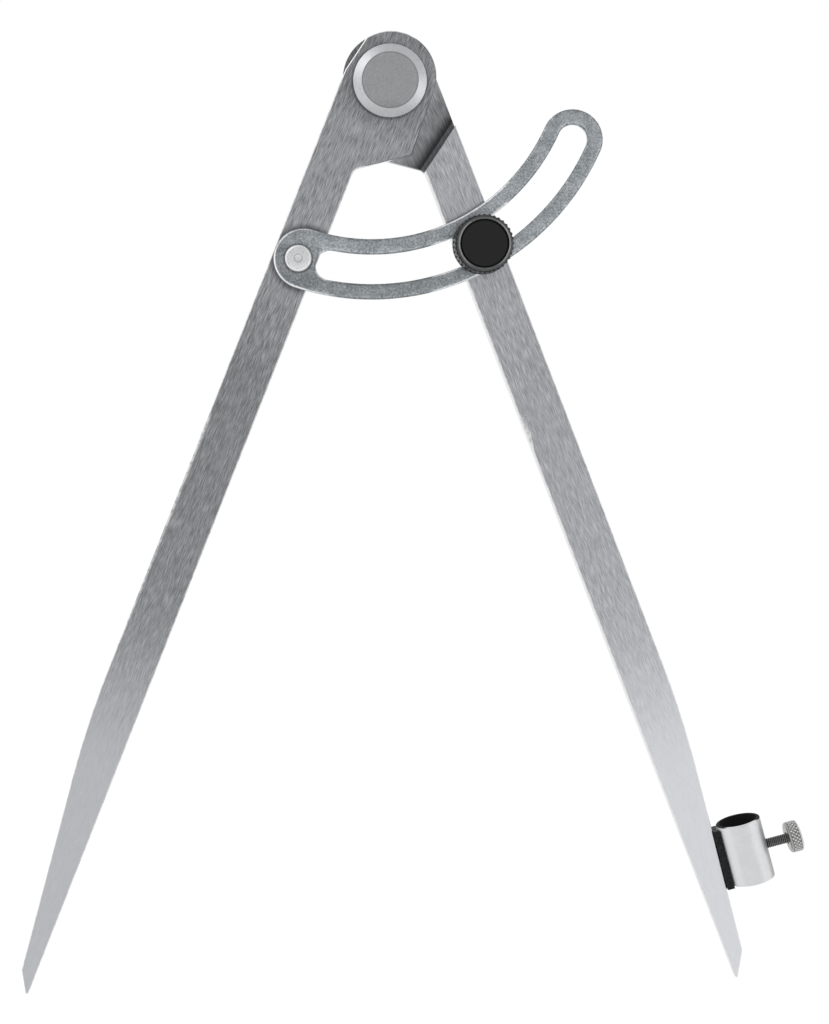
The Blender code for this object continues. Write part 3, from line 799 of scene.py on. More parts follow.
def geometry_group(name, start, numbers, others, make):
    """A geometry tree that starts from a geometry and ends with its finish."""
    sockets = {start: GEOMETRY} | {label: FLOAT for label in numbers} | others
    sockets["Finish"] = MATERIAL
    return new_group(name, "GeometryNodeTree", GEOMETRY, sockets, make)


RIDGES = geometry_group(
    "ridges",
    "Barrel",
    ("Ridges", "Turns Per Metre", "Depth", "Low", "High", "Run Out", "Least Radius", "Crossed"),
    {},
    ridges,
)
WING = geometry_group(
    "wing",
    "Ground",
    (
        "Radius", "Half Width", "Slot Half Width", "Back", "Front", "Edge Radius",
        "Near Angle", "Slot Near Angle", "Far Angle",
    ),
    {"Centre": VECTOR, "Stretch Steps": INTEGER, "Section Steps": INTEGER},
    curved_plate,
)


def grown(shape, tree, **values):
    """The mesh that a geometry node tree makes from a shape. An input left out is zero."""
    target = loose_object(shape)
    modifier = target.modifiers.new(tree.name, "NODES")
    modifier.node_group = tree
    given = labelled(values)
    for item in tree.interface.items_tree:
        if item.in_out == "INPUT" and item.name in given:
            modifier[item.identifier] = given[item.name]
    return applied(target)


# Shared shader effects


def grain(given):
    """Ground steel: fine lines along y, soft patches and small dark pits."""
    across = 1.0 / given["Line Width"]
    along = 1.0 / given["Line Length"]
    stretched = vector_maths("MULTIPLY", given["Vector"], vector_of(across, along, across))
    scale = 1.0 / given["Patch Size"]
    return {
        "Lines": noise(stretched, scale=1.0, detail=3.0, roughness=0.6, distortion=0.1),
        "Patches": noise(given["Vector"], scale, detail=3.0, roughness=0.55),
        "Pits": fade(noise(stretched, PIT_SCALE, detail=1.0), *PIT_LEVELS),
    }


def uneven_edge(given):
    """Where a plate that lies in the drawing's plane has its rounded edges, broken up unevenly: used
    for rubbed wear, for painted highlights and for painted shade.
    """
    facing = abs(parts_of(given["Normal"])[1])
    edge = fade(facing, *OFF_WALL) * fade(facing, *OFF_FACE)
    spared = fade(noise(given["Vector"], EDGE_BREAK_SCALE, detail=2.0), *SPARED_LEVELS)
    return {"Edge": edge * (1.0 - given["Unevenness"] * spared)}


def mottle(given):
    """Plating: crystals of a few sizes over slow clouds."""
    vector = given["Vector"]
    scales = [1.0 / given[label] for label in ("Cloud Size", "Crystal Size")]
    return {
        "Clouds": noise(vector, scales[0], detail=3.0, distortion=0.6),
        "Crystals": noise(vector, scales[1], detail=4.0, roughness=0.7, distortion=0.4),
    }


def lathe_marks(given):
    """Turned metal: fine rings round z, and how far each point is from the axis."""
    x, y, z = parts_of(given["Vector"])
    radius = measure("LENGTH", vector_of(x, y))
    scale = 1.0 / given["Ring Pitch"]
    rings = noise(vector_of(radius * scale, z * scale), scale=1.0, detail=2.0)
    return {"Rings": rings, "Radius": radius, "Height": z}


GRAIN = shader_group("ground_grain", ("Line Width", "Line Length", "Patch Size"), grain)
EDGE = shader_group("uneven_edge", ("Normal", "Unevenness"), uneven_edge)
MOTTLE = shader_group("plating_mottle", ("Cloud Size", "Crystal Size"), mottle)
LATHE = shader_group("lathe_marks", ("Ring Pitch",), lathe_marks)


def effect(group, vector, **values):
    """A shared effect placed in a material."""
    node = put(vector.tree, "ShaderNodeGroup", node_tree=group)
    for label, value in labelled({"vector": vector} | values).items():
        feed(node.inputs[label], value)
    return {socket.name: Value(socket) for socket in node.outputs}


# Materials


def new_material(name, place, metallic=1.0):
    """A new material, its shader, and the places on it as counted in the drawing at this place."""
    made = bpy.data.materials.new(name)
    made.use_nodes = True
    tree = made.node_tree
    shader = tree.nodes["Principled BSDF"]
    shader.inputs["Metallic"].default_value = metallic
    inputs = {
        "Vector": Value(put(tree, "ShaderNodeTexCoord").outputs["Object"]),
        "Location": place.to_translation(),
        "Rotation": place.to_euler(),
    }
    mapping = put(tree, "ShaderNodeMapping", inputs, vector_type="TEXTURE")
    return made, shader, Value(mapping.outputs[0])


def wire(shader, colour, roughness, height, depth, strength):
    """Joins a surface's colour, roughness and relief to its shader."""
    feed(shader.inputs["Base Color"], colour)
    feed(shader.inputs["Roughness"], roughness)
    relief = {"Height": height, "Distance": depth, "Strength": strength}
    feed(shader.inputs["Normal"], joined([height], "ShaderNodeBump", relief))


def normal_at(vector):
    """The surface's normal, in the upright frame."""
    return Value(put(vector.tree, "ShaderNodeTexCoord").outputs["Normal"])


def plate_edge(vector, unevenness):
    return effect(EDGE, vector, normal=normal_at(vector), unevenness=unevenness)["Edge"]


def plated(vector, cloud_size, crystal_size):
    """The clouds and the crystals of a plating."""
    marks = effect(MOTTLE, vector, cloud_size=cloud_size, crystal_size=crystal_size)
    return marks["Clouds"], marks["Crystals"]


def flattened(vector):
    """A place laid flat on the drawing."""
    return vector_maths("MULTIPLY", vector, (1, 1, 0))


def lap_shade(vector, backwards):
    """How much colour the right leg keeps on its lap: painted shade lies dark along the foot of the
    step, and over the part of its head farthest from the step.
    """
    slope = step_slope()
    towards = (-math.sin(slope), math.cos(slope), 0)
    start = math.cos(slope) * (CROTCH_DEPTH - HEAD_BEYOND_PIVOT) + SEAT_GAP
    start += math.sin(slope) * EDGE_OFF_PIVOT
    distance = measure("DOT_PRODUCT", vector, towards) + start
    on_lap = maths("GREATER_THAN", distance, -LAP_MARGIN)
    on_lap = on_lap * maths("LESS_THAN", backwards, 0.5)
    kept = fade(distance, *LAP_CLEARING) * 0.52 + 0.08
    kept += fade(distance, *LAP_CLEAR) * 0.38
    kept += fade(distance, *LAP_FOOT) * 0.22
    kept -= fade(distance, *LAP_TOP) * 0.5
    return blend(on_lap, 1.0, kept)


def wing_shade(vector):
    """Painted shadow on the left leg in a band along the round end of the wing."""
    centre = wing_centre()
    angle = math.atan2(-centre.y, -centre.x) + RIVET_TO_WING_END_ANGLE
    end = centre + Vector((math.cos(angle), math.sin(angle), 0)) * WING_RADIUS
    middle = turn(-LEFT_REST_ANGLE) @ (rivet_point + end)
    distance = measure("DISTANCE", flattened(vector), middle)
    return by_edge(distance, WING_WIDTH / 2, WING_SURROUND)


def wing_line(vector):
    """The thin line of painted shadow on the right leg along the wing's upper edge."""
    middle = turn(-RIGHT_REST_ANGLE) @ (rivet_point + wing_centre())
    distance = measure("DISTANCE", flattened(vector), middle)
    edge = WING_RADIUS - WING_WIDTH / 2
    before = by_edge(distance, edge, [-reach for reach in WING_LINE])
    return before * by_edge(distance, edge, WING_LINE)


def left_leg_marks(colour, vector, along, in_front):
    """A dark lug edge, a painted highlight on the head's flat, and painted shadow round the wing's end
    and the pivot.
    """
    across = parts_of(vector)[0]
    edge = plate_edge(vector, 0.0)
    # The lug's rounded edge is darkened
    colour = tints(edge * fade(across, *LUG_SIDE) * 0.8, colour, LUG_EDGE_DARK)
    # Painted highlight on the rounded edge of the head's flat
    on_flat = fade(across, *FLAT_SIDE) * edge * fade(along, *FLAT_BELOW)
    colour = tints(on_flat, colour, FLAT_HIGHLIGHT)
    # Painted shadow: a dark ring close round the pivot's rim, and a faint shade beside it on one side
    from_pivot = measure("LENGTH", flattened(vector))
    rim = by_edge(from_pivot, PIVOT_HEAD_RADIUS, PIVOT_RIM)
    around = by_edge(from_pivot, PIVOT_HEAD_RADIUS, PIVOT_SURROUND)
    by_pivot = around * fade(across, *PIVOT_SHADE_SIDE) * 0.1 + rim * 0.4
    # Painted shadow round the wing's end and round the pivot
    painted_shadow = maths("MAXIMUM", wing_shade(vector) * 0.58, by_pivot)
    return darker(colour, painted_shadow * in_front)


def leg_steel(name, place, dark, light, with_lap):
    """Steel ground along the leg, which grows smoother and brighter towards the point."""
    made, shader, vector = new_material(name, place)
    marks = effect(
        GRAIN,
        vector,
        line_width=GRAIN_LINE_WIDTH,
        line_length=GRAIN_LINE_LENGTH,
        patch_size=GRAIN_PATCH_SIZE,
    )
    along = parts_of(vector)[1] * -1.0
    fine = fade(along, *FINE_GRINDING)
    coarse = 1.0 - fine * 0.8
    contrast = (marks["Lines"] - 0.5) * coarse * (1.0 - fade(along, *CALM_GRINDING) * 0.3)
    tone = contrast * 3.5 + (0.6 if with_lap else 0.63)
    tone += (marks["Patches"] - 0.5) * coarse * 0.25
    tone += fine * 0.5
    tone -= fade(along, *DARK_MIDDLE) * (0.28 if with_lap else 0.4)
    tone -= fade(along, *DARK_HEAD) * 0.22
    tone -= marks["Pits"] * coarse * 0.3
    colour = tints(clamped(tone), dark, light)
    # Rounded edges turn pale, partly from wear and partly as a painted highlight
    colour = tints(plate_edge(vector, 0.6) * 0.65, colour, LEG_EDGE_WEAR_AND_HIGHLIGHT)
    right, backwards, _ = parts_of(normal_at(vector))
    in_front = fade(backwards, *FACING_FRONT)
    wall = fade(abs(backwards), *WALL_FACING)
    if with_lap:
        # Painted shadow along the wing's upper edge
        colour = darker(colour, wing_line(vector) * in_front * 0.5)
        # Painted shade on the lap; the side walls keep their painted reflection only where the lap is
        # unshaded
        kept = lap_shade(vector, backwards)
        colour = darker(colour, 1.0 - kept)
        wall = wall * fade(kept, *UNSHADED_LEVELS)
        outwards = right
    else:
        colour = left_leg_marks(colour, vector, along, in_front)
        outwards = right * -1.0
    # Painted reflection on the side walls: pale on the inner walls, darker on the outer ones
    wall_reflection = tints(fade(outwards, *OUTER_FACING), INNER_WALL_REFLECTION, OUTER_WALL_REFLECTION)
    colour = tints(wall * 0.75, colour, wall_reflection)
    roughness = blend(wall, contrast * 0.2 + blend(fine, 0.40, 0.33), 0.25)
    wire(shader, colour, roughness, contrast - marks["Pits"], depth=0.00003, strength=0.5)
    return made


def zinc_plating(place):
    """Bluish zinc with clouds and fine crystals. Its edges are bright near the rivet and over the right
    leg, partly wear and partly painted highlight; elsewhere they carry painted shade, and a painted
    shadow rings the rivet.
    """
    made, shader, vector = new_material("zinc_plating", place)
    clouds, raw_crystals = plated(vector, cloud_size=0.003, crystal_size=0.0005)
    crystals = fade(raw_crystals, *ZINC_CRYSTAL_LEVELS)
    tone = crystals * 0.72 + fade(clouds, *ZINC_CLOUD_LEVELS) * 0.28
    colour = tints(tone, (0.275, 0.31, 0.328), (0.725, 0.76, 0.8))
    right, up, _ = parts_of(vector)
    from_centre = measure("DISTANCE", vector, wing_centre())
    outer = by_edge(from_centre, WING_RADIUS, (-SLOT_WIDTH / 2, SLOT_WIDTH / 2))
    dull = fade(right, *DULL_ARM) * outer + fade(right, *DULL_END) * 0.6
    colour = darker(colour, dull * 0.2)
    edge = plate_edge(vector, 0.25)
    from_rivet = measure("LENGTH", flattened(vector))
    low = fade(up, *BRIGHT_EDGE_BELOW) * 0.65 + 0.3
    wear_and_highlight = fade(right, *BRIGHT_EDGE_END) * low * fade(from_rivet, *BRIGHT_EDGE_ROUND)
    over_right_leg = fade(right, *OVER_LEG_LEFT) * fade(right, *OVER_LEG_RIGHT)
    wear_and_highlight += over_right_leg * 0.55
    # Painted shade on the edges that are not bright
    colour = darker(colour, edge * fade(wear_and_highlight, *DIM_EDGE_LEVELS) * 0.5)
    # Painted shadow in a ring round the rivet's head
    painted_shadow = by_edge(from_rivet, WING_RIVET_HEAD_RADIUS, RIVET_RIM)
    colour = darker(colour, painted_shadow * 0.45)
    # Bright edges, partly wear and partly painted highlight
    colour = tints(edge * wear_and_highlight, colour, ZINC_WEAR_AND_HIGHLIGHT)
    wire(shader, colour, blend(crystals, 0.42, 0.3), raw_crystals, depth=0.00004, strength=0.5)
    return made


def turned_metal(name, place, dark, light, roughness, corner, shade_share=0.0, metallic=1.0, specks=0.0):
    """Turned metal with fine rings, darkened low down by a share as painted shade, and with a ring of
    painted shade round a turned corner.
    """
    made, shader, vector = new_material(name, place, metallic)
    marks = effect(LATHE, vector, ring_pitch=0.00018)
    _, crystals = plated(vector, cloud_size=0.004, crystal_size=0.0005)
    tone = marks["Rings"] * 0.2 + crystals * 0.8
    colour = tints(fade(tone, *TONE_LEVELS), dark, light)
    # Painted shade, darker towards the bottom
    low = fade(parts_of(vector)[1], *SHADE_LOW_DOWN)
    colour = darker(colour, low * shade_share)
    # A thin ring of painted shade round the turned corner, and dark specks as real marks
    ring = by_edge(marks["Radius"], corner, CORNER_RING_INSIDE)
    ring = ring * by_edge(marks["Radius"], corner, CORNER_RING_OUTSIDE)
    spots = fade(crystals, *SPECK_LEVELS) * specks
    colour = tints(maths("MAXIMUM", ring, spots) * 0.4, colour, (0.1, 0.1, 0.1))
    rough = (crystals - 0.5) * 0.2 + roughness
    wire(shader, colour, rough, crystals, depth=0.000006, strength=0.4)
    return made


def knob_nickel(place):
    """Dark nickel, dark down the side and lighter on the turned rim; the knurl's grooves are near black
    as painted shade, the lip is partly polished and partly a painted highlight that is brighter at its
    sides, and a ring of painted shade lies at the pocket's edge.
    """
    made, shader, vector = new_material("dark_nickel", place)
    shader.inputs["Specular Tint"].default_value = (0.6, 0.6, 0.6, 1)
    radius = effect(LATHE, vector, ring_pitch=0.00015)["Radius"]
    clouds, crystals = plated(vector, cloud_size=0.002, crystal_size=0.0004)
    # Painted shade: the knurl's grooves are near black
    crest = fade(radius, KNOB_RADIUS - KNOB_TOOTH_DEPTH, KNOB_RADIUS)
    side = tints(crest, (0.02, 0.021, 0.022), (0.1, 0.104, 0.106))
    rim = by_edge(radius, KNOB_RADIUS, KNOB_RIM)
    colour = tints(rim, side, (0.12, 0.125, 0.127))
    # Painted highlight on the lip, brighter at its sides
    lip = by_edge(radius, KNOB_RADIUS, KNOB_LIP)
    sideways = fade(abs(parts_of(vector)[0]), *LIP_SIDES)
    polished_and_lit = tints(sideways, (0.2, 0.206, 0.206), (0.42, 0.43, 0.425))
    colour = tints(lip, colour, polished_and_lit)
    # A ring of painted shade at the pocket's edge
    pocket = by_edge(radius, KNOB_RADIUS, KNOB_POCKET)
    colour = tints(pocket, colour, (0.05, 0.05, 0.05))
    colour = tints(fade(crystals, *WORN_LEVELS) * 0.35, colour, (0.09, 0.09, 0.092))
    wire(shader, colour, clouds * 0.2 + 0.24, crystals, depth=0.00002, strength=0.4)
    return made


def cap_black(place):
    """Matt black with the faintest turning marks."""
    made, shader, vector = new_material("matt_black", place, metallic=0.0)
    shader.inputs["Specular IOR Level"].default_value = 0.27
    rings = effect(LATHE, vector, ring_pitch=0.00025)["Rings"]
    clouds, crystals = plated(vector, cloud_size=0.003, crystal_size=0.0003)
    tone = rings * 0.5 + crystals * 0.5
    colour = tints(tone, (0.006, 0.006, 0.0064), (0.010, 0.010, 0.0106))
    wire(shader, colour, clouds * 0.2 + 0.42, crystals, depth=0.00002, strength=0.3)
    return made


def bracket_black(place):
    """Blackened steel, rubbed a little grey in patches on its front."""
    made, shader, vector = new_material("blackened_steel", place, metallic=0.4)
    shader.inputs["Specular IOR Level"].default_value = 0.25
    clouds, crystals = plated(vector, cloud_size=0.004, crystal_size=0.0004)
    in_front = fade(parts_of(normal_at(vector))[1], *FACING_SOFTLY_FRONT)
    tone = fade(crystals, *BRACKET_LEVELS) * in_front
    colour = tints(tone, (0.005, 0.0055, 0.006), (0.035, 0.037, 0.04))
    wire(shader, colour, clouds * 0.25 + 0.38, crystals, depth=0.00003, strength=0.4)
    return made


def tube_satin(place):
    """Bright satin outside, with a painted highlight in a band away from the leg, painted light beside
    the saddle and painted shade on the far side; black in the bore, with painted shade on the end face
    except at its front.
    """
    made, shader, vector = new_material("bright_tube", place)
    radius = effect(LATHE, vector, ring_pitch=0.0002)["Radius"]
    clouds, crystals = plated(vector, cloud_size=0.005, crystal_size=0.0005)
    marks = effect(GRAIN, vector, line_width=0.0015, line_length=0.0003, patch_size=0.004)
    tone = marks["Patches"] * 0.5 + crystals * 0.5
    bright = tints(fade(tone, *TONE_LEVELS), (0.65, 0.655, 0.67), (0.73, 0.735, 0.75))
    back, away, _ = parts_of(vector)
    # Painted shade on the end face, except at its front
    shade_share = by_edge(radius, TUBE_RADIUS, END_FACE) * fade(back, *END_FACE_BACK)
    outside = by_edge(radius, TUBE_RADIUS - TUBE_WALL, BORE_EDGE) * (1.0 - shade_share)
    # Painted highlight in a band away from the leg
    glossy_reflection = fade(away, *HIGHLIGHT_NEAR) * fade(away, *HIGHLIGHT_FAR)
    bright = tints(glossy_reflection * 0.4, bright, (0.9, 0.905, 0.92))
    # Painted light beside the saddle, where the tube is also less metallic
    near_saddle = fade(away, *NEAR_SADDLE)
    bright = tints(near_saddle, bright, (0.84, 0.845, 0.86))
    # Painted shade on the far side
    bright = darker(bright, fade(away, *FAR_SIDE) * 0.55)
    colour = tints(outside, (0.002, 0.002, 0.002), bright)
    feed(shader.inputs["Metallic"], outside * (0.45 - near_saddle * 0.45))
    roughness = blend(outside, 0.9, clouds * 0.1 + 0.3)
    wire(shader, colour, roughness, crystals, depth=0.00001, strength=0.3)
    return made


def threaded_steel(place):
    """Dark steel whose colour stands in for the shade in its thread: near black in the grooves and
    paler on the crests.
    """
    made, shader, vector = new_material("threaded_steel", place)
    radius = effect(LATHE, vector, ring_pitch=0.0002)["Radius"]
    _, crystals = plated(vector, cloud_size=0.001, crystal_size=0.0003)
    # Painted shade in the thread's grooves, paler on its crests
    crest = fade(radius, SCREW_RADIUS - SCREW_THREAD_DEPTH, SCREW_RADIUS)
    colour = tints(crest, (0.03, 0.03, 0.03), (0.30, 0.30, 0.295))
    colour = tints(fade(crystals, *WORN_LEVELS) * 0.5, colour, (0.08, 0.08, 0.08))
    wire(shader, colour, 0.4, crystals, depth=0.00002, strength=0.4)
    return made


def knurled_nickel(place):
    """Nickel plate on a diamond knurl: bright on the points, with painted shade in the grooves and on
    the head's rear end.
    """
    made, shader, vector = new_material("knurled_nickel", place)
    marks = effect(LATHE, vector, ring_pitch=0.0002)
    clouds, crystals = plated(vector, cloud_size=0.002, crystal_size=0.0004)
    floor = SCREW_HEAD_RADIUS - SCREW_TOOTH_DEPTH
    crest = fade(marks["Radius"], floor, SCREW_HEAD_RADIUS - SCREW_TOOTH_DEPTH * KNURL_CREST_SHARE)
    barrel = TUBE_RADIUS + SCREW_SHANK_SHOWN
    low, high = barrel + SCREW_HEAD_CHAMFER, barrel + SCREW_HEAD_LENGTH - SCREW_HEAD_CHAMFER
    before = fade(marks["Height"], low, low - KNURL_END_FADE)
    after = fade(marks["Height"], high, high + KNURL_END_FADE)
    plain = maths("MAXIMUM", maths("MAXIMUM", before, after), crest)
    # Painted shade in the knurl's grooves
    colour = tints(plain, KNURL_GROOVE_SHADE, (0.72, 0.72, 0.71))
    # Painted shade on the head's rear end
    colour = tints(before * 0.5, colour, KNURL_GROOVE_SHADE)
    colour = tints(fade(crystals, *NICKEL_LEVELS) * 0.45, colour, (0.4, 0.395, 0.385))
    wire(shader, colour, clouds * 0.15 + 0.26, crystals, depth=0.00001, strength=0.3)
    return made


# Legs


def facet_length(length):
    """How long a leg's last facet is, from the tapered edge to the blunted tip."""
    taper = math.tan(TAPER_ANGLE)
    facet = math.tan(TIP_FACET_ANGLE)
    return (LEG_WIDTH - length * taper - TIP_BLUNT) / (facet - taper)


def taper_round(side, reach, length):
    """The gentle round where the straight outer edge turns towards the point."""
    radius = TAPER_ROUND / math.tan(TAPER_ANGLE / 2)
    start = reach - length - TAPER_ROUND
    points = []
    for i in range(FILLET_STEPS + 1):
        bend = TAPER_ANGLE * i / FILLET_STEPS
        across = LEG_WIDTH - radius * (1 - math.cos(bend))
        points.append(leg_point(side, across, start + radius * math.sin(bend)))
    return points


def leg_outline(side, reach, length, head_flat):
    """A leg seen from the front. A head flat takes the corner off its outer shoulder."""
    bend = math.pi / 2 - step_slope()
    outline = [leg_point(side, TIP_BLUNT, reach), leg_point(side, 0, reach - TIP_BLUNT)]
    for i in range(FILLET_STEPS + 1):
        angle = bend * i / FILLET_STEPS
        across = -CROTCH_FILLET * (1 - math.cos(angle))
        start = CROTCH_DEPTH + CROTCH_FILLET * math.tan(bend / 2)
        outline.append(leg_point(side, across, start - CROTCH_FILLET * math.sin(angle)))
    outline.append(leg_point(side, -LUG_REACH, LUG_DEPTH))
    shoulder = math.pi / 2 - math.asin(LEG_WIDTH / HEAD_RADIUS)
    last_angle = LEFT_HEAD_FLAT_ANGLE if head_flat else shoulder
    head = arc((0, 0), HEAD_RADIUS, math.pi, last_angle, HEAD_STEPS)
    outline += [leg_point(side, across, -beyond) for across, beyond in head]
    if head_flat:
        outline.append(leg_point(side, LEG_WIDTH, LEFT_HEAD_FLAT_END))
    outline += taper_round(side, reach, length)
    facet = facet_length(length)
    outline.append(leg_point(side, tapered_width(facet, length), reach - facet))
    return [tuple(point[:2]) for point in outline]


def step_point(side, across, height, beyond=0.0):
    """A place on the line of a lap's step, or beyond it along the leg."""
    slope = step_slope()
    along = CROTCH_DEPTH + SEAT_GAP / math.cos(slope) - across * math.tan(slope)
    x, y, _ = leg_point(side, across, along + beyond)
    return (x, y, height)


def lap_block(side, low, high):
    """The space that the other leg's head turns in."""
    ends = (HEAD_RADIUS + CUT_OVERRUN, -LUG_REACH - CUT_OVERRUN)
    points = []
    for height in (low, high):
        for across in ends:
            points.append(step_point(side, across, height))
            x, y, _ = leg_point(side, across, -HEAD_RADIUS - CUT_OVERRUN)
            points.append((x, y, height))
    return hull(points)


def step_chamfer(side, face, outwards):
    """A narrow chamfer along the edge between a lap's step and the leg's face."""
    points = []
    for across in (HEAD_RADIUS + CUT_OVERRUN, -LUG_REACH - CUT_OVERRUN):
        over = face + outwards * CUT_OVERRUN
        points.append(step_point(side, across, face - outwards * STEP_CHAMFER))
        points.append(step_point(side, across, over, STEP_CHAMFER + CUT_OVERRUN))
        points.append(step_point(side, across, over))
    return hull(points)


def facet_wedge(side, inner, start, length, width, end_width):
    """A ground facet: widest where it starts, and half as deep as it is wide."""
    edge = 0 if inner else LEG_WIDTH
    inwards = 1 if inner else -1
    points = []
    for along, wide in ((start, width), (start + length, end_width)):
        for into, height in (
            (wide, leg_front),
            (0, leg_front - wide / 2),
            (-CUT_OVERRUN, leg_front - wide / 2 - CUT_OVERRUN / 2),
            (-CUT_OVERRUN, leg_front + CUT_OVERRUN),
            (wide, leg_front + CUT_OVERRUN),
        ):
            x, y, _ = leg_point(side, edge + inwards * into, along)
            points.append((x, y, height))
    return hull(points)


def leg_bore(place, radius):
    """A rod that bores through a leg at this place."""
    bore = rod(radius, leg_back - CUT_OVERRUN, leg_front + CUT_OVERRUN, SMALL_SIDES)
    bmesh.ops.translate(bore, verts=bore.verts, vec=place)
    return bore


def thinned(mesh, reach):
    """Draws a leg's faces in towards the middle, from where the thinning starts to the tip."""
    shape = bmesh.new()
    shape.from_mesh(mesh)
    everything = list(shape.verts) + list(shape.edges) + list(shape.faces)
    start = HEAD_BEYOND_PIVOT - THINNING_START
    end = HEAD_BEYOND_PIVOT - reach
    level = Vector((0, start, 0))
    bmesh.ops.bisect_plane(shape, geom=everything, plane_co=level, plane_no=(0, 1, 0))
    half = (leg_front - leg_back) / 2
    most = 1 - TIP_THICKNESS / 2 / half
    for corner in shape.verts:
        share = max(start - corner.co.y, 0) / (start - end)
        corner.co.z -= (corner.co.z - leg_middle) * most * share
    shape.to_mesh(mesh)
    shape.free()
    return mesh


def make_leg(name, side, reach, taper, head_flat, lap, chamfer, facet, hole, place, finish):
    outline = leg_outline(side, reach - TIP_WEAR, taper, head_flat)
    plate = rounded_plate(outline, leg_back, leg_front, LEG_EDGE_RADIUS)
    cutters = [lap_block(side, *lap), step_chamfer(side, *chamfer), facet_wedge(side, *facet)]
    cutters.append(leg_bore(Vector((0, 0, 0)), PIVOT_SHANK_RADIUS + BORE_CLEARANCE))
    across, along, radius = hole
    cutters.append(leg_bore(leg_point(side, across, along), radius + BORE_CLEARANCE))
    mesh = thinned(carved(plate, cutters), reach)
    piece(name, mesh, place, finish, name)


def make_legs():
    make_leg(
        "left_leg",
        side=-1,
        reach=LEFT_REACH,
        taper=LEFT_TAPER_LENGTH,
        head_flat=True,
        lap=(leg_back - CUT_OVERRUN, leg_middle + SEAT_GAP / 2),
        chamfer=(leg_back, -1),
        facet=(False, LEFT_FACET_START, LEFT_FACET_LENGTH, LEFT_FACET_WIDTH, LEFT_FACET_END_WIDTH),
        hole=(WING_RIVET_ACROSS, WING_RIVET_ALONG, WING_RIVET_RADIUS),
        place=left_place,
        finish=leg_steel(
            "left_leg_steel",
            left_place,
            dark=(0.207, 0.213, 0.222),
            light=(0.59, 0.603, 0.625),
            with_lap=False,
        ),
    )
    make_leg(
        "right_leg",
        side=1,
        reach=RIGHT_REACH,
        taper=RIGHT_TAPER_LENGTH,
        head_flat=False,
        lap=(leg_middle - SEAT_GAP / 2, leg_front + CUT_OVERRUN),
        chamfer=(leg_front, 1),
        facet=(True, RIGHT_FACET_START, RIGHT_FACET_LENGTH, RIGHT_FACET_WIDTH, 0),
        hole=(STUD_ACROSS, STUD_ALONG, STUD_RADIUS),
        place=right_place,
        finish=leg_steel(
            "right_leg_steel",
            right_place,
            dark=(0.335, 0.343, 0.358),
            light=(0.735, 0.748, 0.777),
            with_lap=True,
        ),
    )


# Pivot


def make_pivot():
    steel = turned_metal(
        "pivot_steel",
        UPRIGHT,
        dark=(0.49, 0.496, 0.512),
        light=(0.60, 0.607, 0.622),
        roughness=0.34,
        corner=PIVOT_HEAD_RADIUS - PIVOT_HEAD_CHAMFER,
        shade_share=0.2,
    )
    chamfer_low = pivot_front - PIVOT_HEAD_CHAMFER / 2
    seat = leg_front + SEAT_GAP
    turned_piece("pivot_rivet", UPRIGHT, steel, "left_leg", FINE_SIDES, [
        (0, pivot_back, 0),
        (PIVOT_SHANK_RADIUS, pivot_back, PIVOT_CORNER_RADIUS),
        (PIVOT_SHANK_RADIUS, seat, 0),
        (PIVOT_HEAD_RADIUS, seat, SMALL_CORNER_RADIUS),
        (PIVOT_HEAD_RADIUS, chamfer_low, PIVOT_CORNER_RADIUS),
        (PIVOT_HEAD_RADIUS - PIVOT_HEAD_CHAMFER, pivot_front, PIVOT_CORNER_RADIUS),
        (0, pivot_front, 0),
    ])
    bore = PIVOT_SHANK_RADIUS + BORE_CLEARANCE
    turned_piece("pivot_rear_washer", UPRIGHT, steel, "left_leg", FINE_SIDES, [
        (bore, rear_washer_back, SMALL_CORNER_RADIUS),
        (REAR_WASHER_RADIUS - REAR_WASHER_CHAMFER, rear_washer_back, PIVOT_CORNER_RADIUS),
        (REAR_WASHER_RADIUS, rear_washer_back + REAR_WASHER_CHAMFER / 2, PIVOT_CORNER_RADIUS),
        (REAR_WASHER_RADIUS, rear_washer_front, SMALL_CORNER_RADIUS),
        (bore, rear_washer_front, 0),
    ])


# Wing


def wing_centre():
    """The arc's centre, from the rivet: the rivet and the stud each lie just outside the arc."""
    chord = (stud_point - rivet_point).to_2d()
    rivet_radius = WING_RADIUS + RIVET_OFF_ARC
    stud_radius = WING_RADIUS + STUD_OFF_SLOT_CENTRE
    ahead = (chord.length_squared + rivet_radius**2 - stud_radius**2) / (2 * chord.length)
    above = math.sqrt(rivet_radius**2 - ahead**2)
    along = chord.normalized()
    return Vector((along.x * ahead - along.y * above, along.y * ahead + along.x * above, 0))


def make_wing():
    zinc = zinc_plating(rivet_place)
    centre = wing_centre()
    rivet_angle = math.atan2(-centre.y, -centre.x)
    mesh = grown(
        bmesh.new(),
        WING,
        centre=tuple(centre),
        radius=WING_RADIUS,
        half_width=WING_WIDTH / 2,
        slot_half_width=SLOT_WIDTH / 2,
        back=wing_back,
        front=wing_front,
        edge_radius=WING_EDGE_RADIUS,
        near_angle=rivet_angle + RIVET_TO_WING_END_ANGLE,
        slot_near_angle=rivet_angle + RIVET_TO_SLOT_ANGLE,
        far_angle=rivet_angle + RIVET_TO_FAR_END_ANGLE,
        stretch_steps=WING_STEPS * 4,
        section_steps=EDGE_STEPS * 8,
        finish=zinc,
    )
    plate = bmesh.new()
    plate.from_mesh(mesh)
    hole = leg_bore(Vector((0, 0, 0)), WING_RIVET_RADIUS + BORE_CLEARANCE)
    bmesh.ops.translate(hole, verts=hole.verts, vec=(0, 0, wing_back - leg_back))
    mesh = carved(plate, [hole])
    piece("wing_plate", mesh, rivet_place, zinc, "wing")


